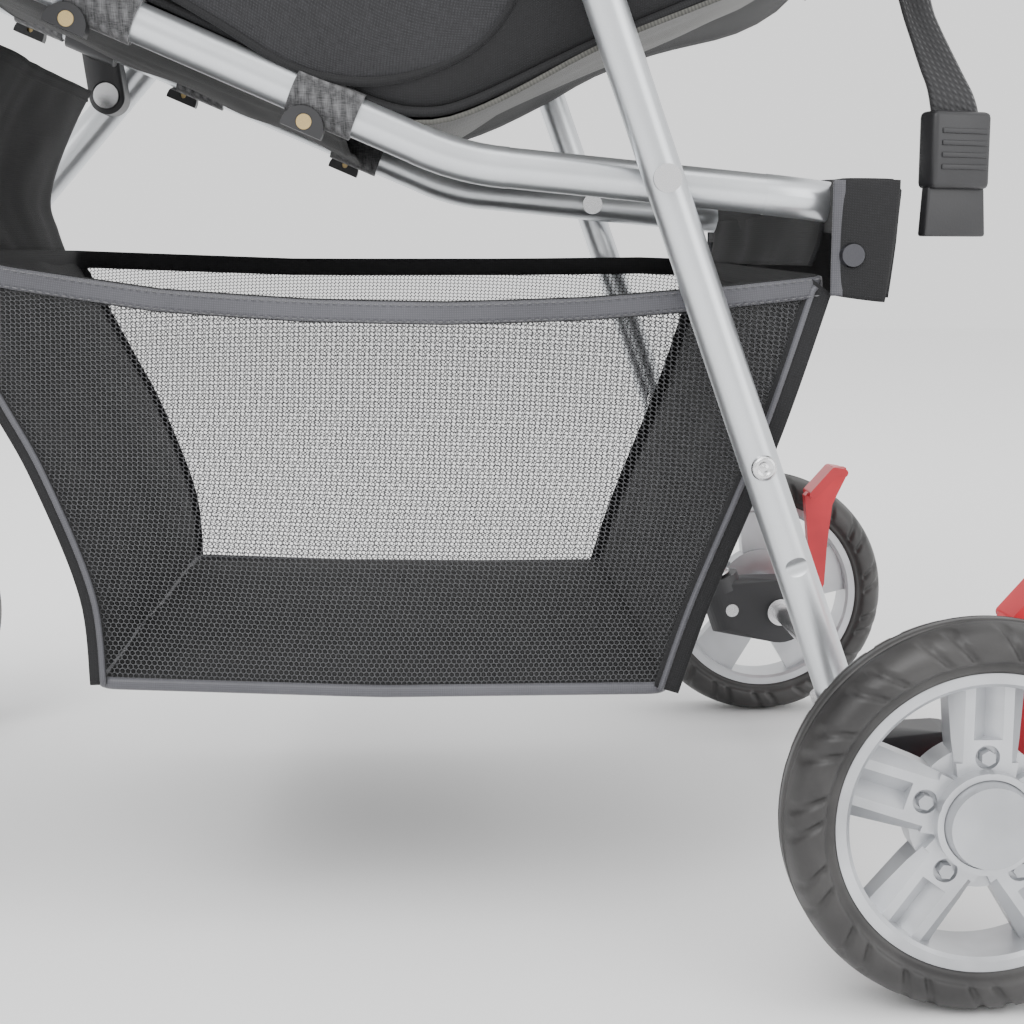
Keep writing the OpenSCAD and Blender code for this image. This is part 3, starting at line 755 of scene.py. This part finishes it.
def canopy_point(angle, t, grow=0.0):
    reach = canopy_reach(angle) + grow
    half = CABIN_X / MM - 2.2 + grow * 0.3
    across, out = hoop(t, reach, half, 44)
    out = max(out, 10.0)
    a = math.radians(angle)
    p = HUB + Vector((across * MM, -math.cos(a) * out * MM, math.sin(a) * out * MM))
    share = min(1.0, out / 120)
    return p + Vector((0, 0, 1)) * ripple(p, 0.08, 1.6,
                                                                                         13) * MM * share


def canopy_panel(name, a0, a1, bodies, columns=96, rows=26):
    def point(u, v):
        return canopy_point(a0 + (a1 - a0) * v, u)

    obj = sheet_grid(name, point, columns, rows, HEATHER, 1.8 * MM)
    if len(bodies) == 2:
        # the weight runs round the hub, so it is set by angle and not along a straight line
        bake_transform(obj, bodies[0], bodies[1], start=canopy_point(a0, 0.5), end=canopy_point(a1, 0.5))
        weights = obj.data.attributes["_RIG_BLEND"]
        for index in range(len(obj.data.vertices)):
            row = index // (columns + 1)
            weights.data[index].value = row / rows
    else:
        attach(obj, bodies[0])
    return obj


def canopy():
    rear = canopy_panel("canopy_rear_panel", 174, BOW_ANGLES["rear"], ["seat_frame"])
    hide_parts("canopy")
    canopy_panel("canopy_top_panel", BOW_ANGLES["rear"], BOW_ANGLES["middle"], ["seat_frame",
                                                                                "canopy_middle"], rows=40)
    canopy_panel("canopy_front_panel", BOW_ANGLES["middle"], BOW_ANGLES["front"], ["canopy_middle",
                                                                                   "canopy_front"],
                 rows=36)
    for bow, body in (("front", "canopy_front"), ("middle", "canopy_middle"), ("rear", "seat_frame")):
        angle = BOW_ANGLES[bow]
        line = [canopy_point(angle, 0.03 + 0.94 * k / 120, 1.2) for k in range(121)]
        out = Vector((0, -math.cos(math.radians(angle)), math.sin(math.radians(angle))))
        width = 13 if bow == "front" else 16
        settle(sweep(f"canopy_{bow}_binding", line, band_profile(width * MM, 1.6 * MM), BLACK_CLOTH,
                     normal=hoop_normal(line, out)), body, "black_fabric")
        for k, offset in enumerate((-1, 1)):
            row = [p + turn_about_hub(p, offset * 1.15) for p in line]
            settle(stitches(f"canopy_{bow}_stitch_{k}", row, out, lift=1.6 * MM), body, "black_fabric")


def turn_about_hub(p, degrees):
    """Step that turns a point about the canopy hub's axis."""
    rel = Vector((0, p.y - HUB.y, p.z - HUB.z))
    if rel.length < 60 * MM:
        degrees *= rel.length / (60 * MM)
    return Matrix.Rotation(math.radians(degrees), 3, "X") @ rel - rel


def hoop_normal(line, out):
    """Outward direction for each point of a bow's line."""
    middle = HUB + out * 0.12

    def normal(i):
        away = line[i] - middle
        return Vector((away.x, away.y, away.z)).normalized()

    return normal


# ---- pad in the cabin -----------------------------------------------------------


def simulated_pad(name, corners, thick, half):
    """Quilted slab between two (s, z) ends, swollen by Cloth pressure and then capped."""
    (s0, z0), (s1, z1) = corners
    start, end = at(s0, z0), at(s1, z1)
    along = (end - start).normalized()
    out = Vector((0, -along.z, along.y))
    if out.z < 0:
        out = -out
    length = (end - start).length
    verts, faces = [], []
    nx, ny = 22, 16
    for layer in (0, 1):
        for j in range(ny + 1):
            for i in range(nx + 1):
                u, v = i / nx, j / ny
                squeeze = 1 - 0.5 * max(abs(2 * u - 1), abs(2 * v - 1)) ** 8
                verts.append(start + Vector(((2 * u - 1) * half, 0, 0)) + along * length * v
                             + out * thick * (0.5 + (layer - 0.5) * squeeze))
    n = (nx + 1) * (ny + 1)
    for layer in (0, 1):
        for j in range(ny):
            for i in range(nx):
                a = layer * n + j * (nx + 1) + i
                quad = (a, a + 1, a + nx + 2, a + nx + 1)
                faces.append(quad if layer else quad[::-1])
    ring = [i for i in range(nx + 1)] + [j * (nx + 1) + nx for j in range(1, ny + 1)]
    ring += [ny * (nx + 1) + i for i in range(nx - 1, -1, -1)] + [j * (nx + 1) for j in range(ny - 1, 0, -1)]
    for k in range(len(ring)):
        a, b = ring[k], ring[(k + 1) % len(ring)]
        faces.append((a, b, b + n, a + n))
    obj = add_object(name, verts, faces, PAD)
    remesh = obj.modifiers.new("remesh", "REMESH")
    remesh.mode = "VOXEL"
    remesh.voxel_size = 0.006
    apply_modifiers(obj)
    rest = [v.co.copy() for v in obj.data.vertices]
    cloth = obj.modifiers.new("cloth", "CLOTH")
    cloth.settings.use_pressure = True
    cloth.settings.uniform_pressure_force = 4.0
    cloth.settings.effector_weights.gravity = 0.0
    cloth.settings.quality = 5
    cloth.point_cache.frame_start = 1
    cloth.point_cache.frame_end = 20
    for step in range(1, 21):
        bpy.context.scene.frame_set(step)
    apply_modifiers(obj)
    bpy.context.scene.frame_set(1)
    for vertex, before in zip(obj.data.vertices, rest):
        move = vertex.co - before
        if move.length > 0.006:
            vertex.co = before + move.normalized() * 0.006
    for vertex, before in zip(obj.data.vertices, rest):
        rel = before - start
        v = rel.dot(along) / length
        u = rel.x / half
        channel = 0.0
        for line in (0.25, 0.5, 0.75):
            channel = max(channel, math.exp(-((v - line) * length / 0.006) ** 2))
        channel = max(channel, math.exp(-(u * half / 0.006) ** 2))
        height = (before - start).dot(out) / thick - 0.5
        vertex.co -= out * (math.copysign(1, height) * channel * 0.0035 if abs(height) > 0.2 else 0.0)
        lowest = 0.0008
        depth = (vertex.co - start).dot(out)
        if depth < lowest:
            vertex.co += out * (lowest - depth)
    for polygon in obj.data.polygons:
        polygon.use_smooth = True
    modifier = obj.modifiers.new("smooth", "SUBSURF")
    modifier.levels = modifier.render_levels = 1
    return obj


def apply_modifiers(obj):
    graph = bpy.context.evaluated_depsgraph_get()
    mesh = bpy.data.meshes.new_from_object(obj.evaluated_get(graph))
    obj.modifiers.clear()
    obj.data = mesh


def cabin_pad():
    half = CABIN_X - 12 * MM
    front = simulated_pad("pad_front_leaf", ((222, 362), (404, 441)), 15 * MM, half)
    rear = simulated_pad("pad_rear_leaf", ((202, 362), (26, 432)), 15 * MM, half)
    settle(front, "seat_frame", "pad_fabric", "cabin_pad")
    settle(rear, "seat_frame", "pad_fabric")


# ---- basket -----------------------------------------------------------------------

NEAR_TOP = [(408, 284), (375, 277.5), (316, 268.5), (261, 264.5), (205, 263), (148, 264.5), (110, 267.5),
            (75, 270.5),
            (50, 273.5)]
FAR_TOP = [(408, 284.5), (367, 283), (282, 280), (161, 280), (72, 281), (50, 279)]
BASKET_BOTTOM = [(344, 112), (230, 107), (110, 107)]
BASKET_FRONT = [(344, 112), (347, 150), (364, 198), (380, 230), (408, 284)]
BASKET_REAR = [(110, 107), (97, 146), (70, 214), (50, 276)]


def basket():
    x_top, x_low = BASKET_X / MM - 1.5, BASKET_X / MM - 5.0
    for side, name in ((1, "right"), (-1, "left")):
        top = even_line(line_mm(NEAR_TOP if side > 0 else FAR_TOP, side * x_top), 70)
        low = even_line(line_mm(BASKET_BOTTOM, side * x_low), 70)
        front = even_line([Vector((side * (x_low + (x_top - x_low) * k / 40) * MM, p.y, p.z))
                           for k, p in enumerate(even_line(line_mm(BASKET_FRONT), 40))], 40)
        rear = even_line([Vector((side * (x_low + (x_top - x_low) * k / 40) * MM, p.y, p.z))
                          for k, p in enumerate(even_line(line_mm(BASKET_REAR), 40))], 40)
        front[-1], rear[-1] = top[0].copy(), top[-1].copy()
        patch = coons(low, top, front, rear)

        def wall_point(u, v, patch=patch, side=side):
            p = patch(u, v)
            p.x += side * MM * dome(u, v, 0.6) * (1.0 + ripple(p, 0.07, 2.4, 17))
            p.x -= side * MM * 2.0 * math.exp(-((v - 0.12) / 0.1) ** 2) * (0.6 + ripple(p, 0.04, 0.8, 19))
            return p

        wall = sheet_grid(f"basket_side_{name}", wall_point, 70, 40, NET)
        settle(wall, "seat_frame", "basket_mesh")
        for edge_name, edge, width in (("front", front, 7), ("rear", rear, 11)):
            shifted = [Vector((p.x + side * 0.6 * MM, p.y, p.z)) for p in edge]
            settle(sweep(f"basket_{edge_name}_edge_{name}", shifted, band_profile(width * MM, 1.4 * MM),
                         BLACK_CLOTH,
                         normal=Vector((side, 0, 0))), "seat_frame", "black_fabric")
            push = -2.5 if edge_name == "rear" else 2.0
            cord_line = [Vector((p.x + side * 1.2 * MM, p.y + push * MM, p.z)) for p in edge]
            settle(sweep(f"basket_{edge_name}_piping_{name}", cord_line, round_profile(1.3 * MM), SATIN,
                         normal=Vector((side, 0, 0))), "seat_frame", "basket_mesh")
    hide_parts("basket")
    for name, outline, seed in (("front", BASKET_FRONT, 21.0), ("rear", BASKET_REAR, 23.0)):
        line = even_line(line_mm(outline), 40)
        lean = 1.0 if name == "front" else -1.0

        def end_point(u, v, line=line, seed=seed, lean=lean):
            p = point_on(line, v)
            across = 2 * u - 1
            half = (x_low + (x_top - x_low) * v) * MM
            p = p + Vector((across * half, 0, 0))
            p.y += lean * MM * (4.0 * (1 - across ** 4) * math.sin(math.pi * v) + ripple(p, 0.06, 2.5, seed)
                                * (1 - across ** 8))
            return p

        settle(sheet_grid(f"basket_{name}_wall", end_point, 60, 40, BLACK_CLOTH), "seat_frame", "basket_mesh")

    def floor_point(u, v):
        s = 344 + (110 - 344) * v
        across = 2 * u - 1
        p = at(s, 109 + 3 * (1 - v), across * x_low)
        p.z += MM * (2.0 * (1 - across ** 2) + ripple(p, 0.07, 1.6, 27))
        return p

    settle(sheet_grid("basket_floor", floor_point, 60, 50, BLACK_CLOTH, 1.2 * MM), "seat_frame",
           "black_fabric")
    basket_bindings(x_top, x_low)


def outline_z(outline, s):
    """Height of an outline of (s, z) pairs at s."""
    for (s0, z0), (s1, z1) in zip(outline, outline[1:]):
        if min(s0, s1) <= s <= max(s0, s1):
            return z0 + (z1 - z0) * (s - s0) / (s1 - s0)
    return outline[0][1] if s > outline[0][0] else outline[-1][1]


def loop_normals(line):
    """Horizontal outward direction along a closed loop round the middle of the stroller."""
    count = len(line)

    def normal(i):
        ahead = line[(i + 1) % count] - line[i - 1]
        out = Vector((ahead.y, -ahead.x, 0)).normalized()
        middle = sum(line, Vector()) / count
        return out if out.dot(line[i] - middle) > 0 else -out

    return normal


def basket_bindings(x_top, x_low):
    corners = [(408, x_top + 0.4), (50, x_top + 0.4), (50, -x_top - 0.4), (408, -x_top - 0.4)]

    def top_z(s, x):
        share = min(1.0, max(0.0, 0.5 + x / (2 * x_top)))
        return outline_z(FAR_TOP, s) * (1 - share) + outline_z(NEAR_TOP, s) * share

    loop = [at(s, top_z(s, x), x) for s, x in rounded_loop(corners, 9)]
    normal = loop_normals(loop)
    outer = [p + normal(i) * 0.9 * MM for i, p in enumerate(loop)]
    inner = [p - normal(i) * 0.9 * MM for i, p in enumerate(loop)]
    settle(sweep("basket_top_binding", outer, band_profile(8.5 * MM, 1.5 * MM, 0.5), SATIN, True, normal),
           "seat_frame", "basket_mesh")
    settle(sweep("basket_top_lining", inner, band_profile(9.5 * MM, 1.5 * MM, 0.4), BLACK_CLOTH, True,
                 normal),
           "seat_frame", "black_fabric")
    for side, name in ((1, "right"), (-1, "left")):
        for k, lift in enumerate((-3.3, 3.3)):
            row = [at(s, z + lift, side * (x_top + 2.2)) for s, z in (NEAR_TOP if side > 0 else FAR_TOP)]
            settle(stitches(f"basket_binding_stitch_{name}_{k}", even_line(smooth_line(row), 200),
                            Vector((side, 0, 0)), lift=0.5 * MM), "seat_frame", "basket_mesh")
    corners = [(344, x_low), (110, x_low), (110, -x_low), (344, -x_low)]
    low = [at(s, outline_z(BASKET_BOTTOM, s) + 0.5, x) for s, x in rounded_loop(corners, 8)]
    settle(sweep("basket_bottom_binding", low, round_profile(2.6 * MM, 10, 0.7), SATIN, True,
                 loop_normals(low)),
           "seat_frame", "basket_mesh")


def basket_hangers():
    """Rear flaps round the crossbar and the front panel that carry the basket."""
    c_low, c_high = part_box("basket_flaps")
    y0, y1 = c_low.y, c_high.y
    top, tail = c_high.z, c_low.z
    depth = y1 - y0

    def wrap_outline(t):
        """Closed wrap round the crossbar, from the front lower edge over the top to the tail."""
        points = [(y0, top - 21 * MM), (y0, top - 3 * MM), (y0 + 3 * MM, top), (y1 - 3 * MM, top),
                  (y1, top - 4 * MM), (y1 - 2 * MM, top - 24 * MM), (y1 - 5 * MM, tail)]
        f = t * (len(points) - 1)
        i = min(int(f), len(points) - 2)
        a, b = points[i], points[i + 1]
        return a[0] + (b[0] - a[0]) * (f - i), a[1] + (b[1] - a[1]) * (f - i)

    half = c_high.x

    def wrap_point(u, v):
        y, z = wrap_outline(v)
        across = 2 * u - 1
        p = Vector((across * (half - 1.2 * MM), y, z))
        p.z += MM * (ripple(p, 0.045, 1.3, 31) - 0.8)
        p.y += MM * ripple(p, 0.05, 1.2, 33)
        return p

    wrap = sheet_grid("basket_rear_flap", wrap_point, 90, 48, BLACK_CLOTH, 1.6 * MM)
    settle(wrap, "seat_frame", "black_fabric", "basket_flaps")
    for side, name in ((1, "right"), (-1, "left")):
        def end_point(u, v, side=side):
            y = y0 + 0.5 * MM + (depth - 1 * MM - 5 * MM * (1 - v) ** 1.3) * u
            z = tail + (top - 1 * MM - tail) * v - 2.5 * MM * u * (1 - v)
            p = Vector((side * (half - 1.0 * MM), y, z))
            p.x += side * MM * (1.4 * dome(u, v, 0.5) + ripple(p, 0.03, 0.8, 35))
            return p

        settle(sheet_grid(f"basket_flap_end_{name}", end_point, 20, 30, BLACK_CLOTH, 1.8 * MM), "seat_frame",
               "black_fabric")
        edge = [end_point(0, k / 30) + Vector((side * 0.8 * MM, 0, 0)) for k in range(31)]
        settle(sweep(f"basket_flap_trim_{name}", edge, band_profile(5 * MM, 1.2 * MM), SATIN,
                     normal=Vector((side, 0, 0))), "seat_frame", "basket_mesh")

    hang = even_line(line_mm([(50, 282), (47, 292), (46, 305)]), 12)

    def hanger_point(u, v):
        across = 2 * u - 1
        p = point_on(hang, v) + Vector((across * 132 * MM, 0, 0))
        p.y += MM * ripple(p, 0.04, 2.0, 37)
        return p

    settle(sheet_grid("basket_rear_hanger", hanger_point, 60, 12, BLACK_CLOTH, 1.2 * MM), "seat_frame",
           "black_fabric")

    panel_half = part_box("basket_front_panel")[1].x
    curve = even_line(line_mm([(409, 285), (413, 300), (416, 317), (405, 346), (392.5, 376)]), 40)

    def front_point(u, v):
        across = 2 * u - 1
        narrow = 1 - 0.06 * math.sin(math.pi * v)
        p = point_on(curve, v) + Vector((across * panel_half * narrow, 0, 0))
        p.y += MM * (-4.0 * math.sin(math.pi * v) * (1 - across ** 2) + ripple(p, 0.06, 4.0, 41)
                     + ripple(p, 0.025, 1.0, 43))
        return p

    settle(sheet_grid("basket_front_hanger", front_point, 70, 40, BLACK_CLOTH, 1.6 * MM), "seat_frame",
           "black_fabric", "basket_front_panel")
    for k, v in enumerate((0.03, 0.97)):
        hem = [front_point(i / 60, v) + Vector((0, -1.0 * MM, 0)) for i in range(61)]
        settle(sweep(f"basket_front_hem_{k}", hem, band_profile(7 * MM, 1.6 * MM), BLACK_CLOTH,
                     normal=Vector((0, -1, 0))), "seat_frame", "black_fabric")


# ---- strap ------------------------------------------------------------------------


def block(name, x0, x1, y0, y1, z0, z1, bevel, material, flare=0.0):
    """Moulded block with rounded edges; flare widens its foot."""
    verts = [(x, y * (1 + (flare if z == z0 else 0.0)), z) for x in (x0, x1) for y in (y0, y1) for z in (z0,
                                                                                                         z1)]
    faces = [(0, 1, 3, 2), (4, 6, 7, 5), (0, 4, 5, 1), (2, 3, 7, 6), (0, 2, 6, 4), (1, 5, 7, 3)]
    obj = add_object(name, [Vector(v) * MM for v in verts], faces, material)
    modifier = obj.modifiers.new("bevel", "BEVEL")
    modifier.width = bevel * MM
    modifier.segments = 3
    return obj


def hanging_strap():
    low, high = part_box("strap_buckle")
    place = at(-17.3, 0, (low.x + high.x) / 2 / MM)
    turn = Matrix.Translation(place) @ Matrix.Rotation(math.radians(20), 4, "Z")

    def put(obj, slot_name, *nodes):
        obj.data.transform(turn)
        obj.data.update()
        settle(obj, "seat_frame", slot_name, *nodes)

    path = [(-33, 418), (-27, 405), (-22, 388), (-11, 368), (-3, 354), (0, 343)]
    run = even_line(smooth_line([Vector((0, y * MM, z * MM)) for y, z in path]), 60)
    spread = [0.55, 0.6, 0.62, 0.8, 1.0, 1.0]
    verts, faces, uvs = [], [], []
    across_steps = 10
    for i, p in enumerate(run):
        f = i / 60 * 5
        k = min(int(f), 4)
        width = (spread[k] + (spread[k + 1] - spread[k]) * (f - k)) * 25 * MM
        fold = (1 - width / (25 * MM)) * 9 * MM
        for j in range(across_steps + 1):
            a = j / across_steps * 2 - 1
            verts.append(p + Vector((fold * math.sin(a * 2.6) * 0.35, a * width / 2, -a * width * 0.12)))
            uvs.append((a * 12.5 * MM, i / 60 * 0.09))
    for i in range(60):
        for j in range(across_steps):
            q = i * (across_steps + 1) + j
            faces.append((q, q + 1, q + across_steps + 2, q + across_steps + 1))
    strap = add_object("rear_strap", verts, faces, WEBBING, uvs)
    modifier = strap.modifiers.new("thickness", "SOLIDIFY")
    modifier.thickness = 1.5 * MM
    modifier.offset = 0.0
    put(strap, "webbing", "hang_strap")
    put(block("buckle_body", -6, 6, -15, 15, 314, 346.5, 2.6, BLACK_PLASTIC), "black_plastic", "strap_buckle")
    put(block("buckle_plate", -2.8, 2.8, -14.5, 14.5, 294, 315, 1.2, BLACK_PLASTIC, 0.10), "black_plastic")
    for k, z in enumerate((322, 327, 332, 337)):
        put(block(f"buckle_rib_{k}", 5.4, 6.7, -11, 12.5, z, z + 2.2, 0.5, BLACK_PLASTIC), "black_plastic")


# ---- wheels ---------------------------------------------------------------------------


def tyre(name, cad_node, body):
    low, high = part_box(cad_node)
    centre = (low + high) / 2
    radius = (high.z - low.z) / 2 / MM
    half = (high.x - low.x) / 2 / MM
    k = radius / 76
    rough = [(-half + 6, radius - 18.3), (-half + 2.6, radius - 17.6), (-half + 2.4, radius - 16),
             (-half + 2.9, radius - 14.6), (-half + 0.9, radius - 13.6), (-half + 0.2, radius - 12.6),
             (-half, radius - 11.2), (-half + 0.1, radius - 9), (-half + 0.7, radius - 7), (-half + 1.8,
                                                                                            radius - 5.2),
             (-half + 3.4, radius - 3.6), (-half + 5.6, radius - 2.2), (-half + 8.4, radius - 1.2),
             (-half + 11.4, radius - 0.5), (-4.4, radius - 0.1), (-3.9, radius - 1.3), (-3.1, radius - 1.3),
             (-2.6, radius)]
    half_profile = []
    for (a0, r0), (a1, r1) in zip(rough, rough[1:]):
        steps = 2 if radius - 13 < r0 < radius - 0.6 else 1
        half_profile += [(a0 + (a1 - a0) * t / steps, r0 + (r1 - r0) * t / steps) for t in range(steps)]
    half_profile.append(rough[-1])
    profile = half_profile + [(-a, r) for a, r in reversed(half_profile)]
    turns = 360
    verts, uvs, faces = [], [], []
    for i in range(turns):
        angle = 2 * math.pi * i / turns
        for a, r in profile:
            depth = groove(angle, a, radius - r, k) if abs(a) > 5 else 0.0
            inward = min(1.0, max(0.0, (radius - r) / 9))
            rr = r - depth * (1 - 0.75 * inward)
            aa = a - math.copysign(depth * inward, a)
            verts.append(Vector((aa * MM, math.sin(angle) * rr * MM, math.cos(angle) * rr * MM)) + centre)
            uvs.append((angle * radius * MM, a * MM))
    m = len(profile)
    for i in range(turns):
        for q in range(m):
            a, b = i * m + q, i * m + (q + 1) % m
            c, d = ((i + 1) % turns) * m + (q + 1) % m, ((i + 1) % turns) * m + q
            faces.append((a, d, c, b))
    settle(add_object(name, verts, faces, TYRE, uvs), body, "tyre", cad_node)


def groove(angle, across, below, k):
    """Depth of the slanted slot pairs on each shoulder, in millimetres."""
    along = (12.2 - below) / 10.4
    if along < -0.12 or along > 1.12:
        return 0.0
    pitch = math.radians(24)
    slant = math.radians(5.5) * along
    phase = (angle + slant + (pitch / 2 if across < 0 else 0.0)) % pitch
    depth = 0.0
    for centre in (math.radians(8), math.radians(16.4)):
        gap = abs(phase - centre) / math.radians(1.75 / k)
        depth = max(depth, 1.7 * min(1.0, max(0.0, 2.2 * (1 - gap))))
    ends = min(1.0, (along + 0.12) / 0.14, (1.12 - along) / 0.14)
    return depth * max(0.0, ends)


def wheels():
    for side in ("left", "right"):
        for end in ("front", "rear"):
            tyre(f"{end}_tyre_tread_{side}", f"{end}_tyre_{side}", f"{end}_wheel_{side}")


# ---- rivets ---------------------------------------------------------------------------

RIVET = [(0.0, 1.5), (1.2, 1.5), (1.7, 1.0), (2.3, 1.0), (2.8, 1.7), (3.8, 1.7), (4.6, 1.2), (5.1, 0.4),
         (5.2, 0.0)]


def leg_rivets():
    low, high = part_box("leg_rivets")
    y, z = (low.y + high.y) / 2, (low.z + high.z) / 2
    first = True
    for side in (1, -1):
        for face, name in ((1, "out"), (-1, "in")):
            x = side * (161.5 + face * 8.0) * MM
            way = side * face
            verts, faces = [], []
            turns = 28
            for i in range(turns):
                a = 2 * math.pi * i / turns
                for r, h in RIVET:
                    verts.append(Vector((x + way * h * MM, y + r * MM * math.cos(a),
                                         z + r * MM * math.sin(a))))
            m = len(RIVET)
            for i in range(turns):
                for k in range(m - 1):
                    p, q = i * m + k, ((i + 1) % turns) * m + k
                    faces.append((p, q, q + 1, p + 1) if way < 0 else (p, p + 1, q + 1, q))
            obj = add_object(f"rivet_{'right' if side > 0 else 'left'}_{name}", verts, faces, PLATED)
            settle(obj, "rear_frame", "bright_metal", *(["leg_rivets"] if first else []))
            first = False


# ---- stage, light and camera ----------------------------------------------------------


def stage():
    floor_mesh = bpy.data.meshes.new("studio_floor")
    size = 6.0
    floor_mesh.from_pydata([(-size, -size, 0), (size, -size, 0), (size, size, 0), (-size, size, 0)], [],
                           [(0, 1, 2, 3)])
    floor = bpy.data.objects.new("studio_floor", floor_mesh)
    bpy.context.scene.collection.objects.link(floor)
    material = bpy.data.materials.new("studio_white")
    material.use_nodes = True
    shader = material.node_tree.nodes["Principled BSDF"]
    shader.inputs["Base Color"].default_value = (0.95, 0.95, 0.95, 1)
    shader.inputs["Roughness"].default_value = 0.9
    floor_mesh.materials.append(material)
    world = bpy.data.worlds.new("studio")
    world.use_nodes = True
    background = world.node_tree.nodes["Background"]
    background.inputs["Color"].default_value = (1, 1, 1, 1)
    background.inputs["Strength"].default_value = 1.35
    bpy.context.scene.world = world
    for name, place, aim, size, power in (
        ("key", (1.9, -1.1, 2.3), (0, 0, 0.3), 1.6, 46),
        ("fill", (1.6, 1.9, 1.2), (0, 0.1, 0.3), 1.8, 20),
        ("top", (0.2, 0.0, 2.8), (0, 0, 0), 2.0, 26),
    ):
        data = bpy.data.lights.new(name, "AREA")
        data.shape = "SQUARE"
        data.size = size
        data.energy = power
        lamp = bpy.data.objects.new(name, data)
        lamp.location = place
        lamp.rotation_euler = (Vector(aim) - Vector(place)).to_track_quat("-Z", "Y").to_euler()
        bpy.context.scene.collection.objects.link(lamp)


def camera():
    """Three-quarter-height view from the right side, as close as the picture was taken."""
    data = bpy.data.cameras.new("camera")
    data.sensor_width = 36.0
    data.lens = 58.25
    data.clip_start = 0.02
    obj = bpy.data.objects.new("camera", data)
    right = Vector((0.0465, 0.9989, 0.0)).normalized()
    forward = Vector((-0.9875, 0.0460, -0.1509)).normalized()
    up = right.cross(forward)
    turn = Matrix((right, up, -forward)).transposed().to_4x4()
    place = Vector((0.8123, AXLE_Y - 0.2054, AXLE_Z + 0.2084))
    obj.matrix_world = Matrix.Translation(place) @ turn
    bpy.context.scene.collection.objects.link(obj)
    bpy.context.scene.camera = obj


cabin_sides()
cabin_body()
seat_sling()
canopy()
cabin_pad()
basket()
basket_hangers()
hanging_strap()
leg_rivets()
wheels()
stage()
camera()
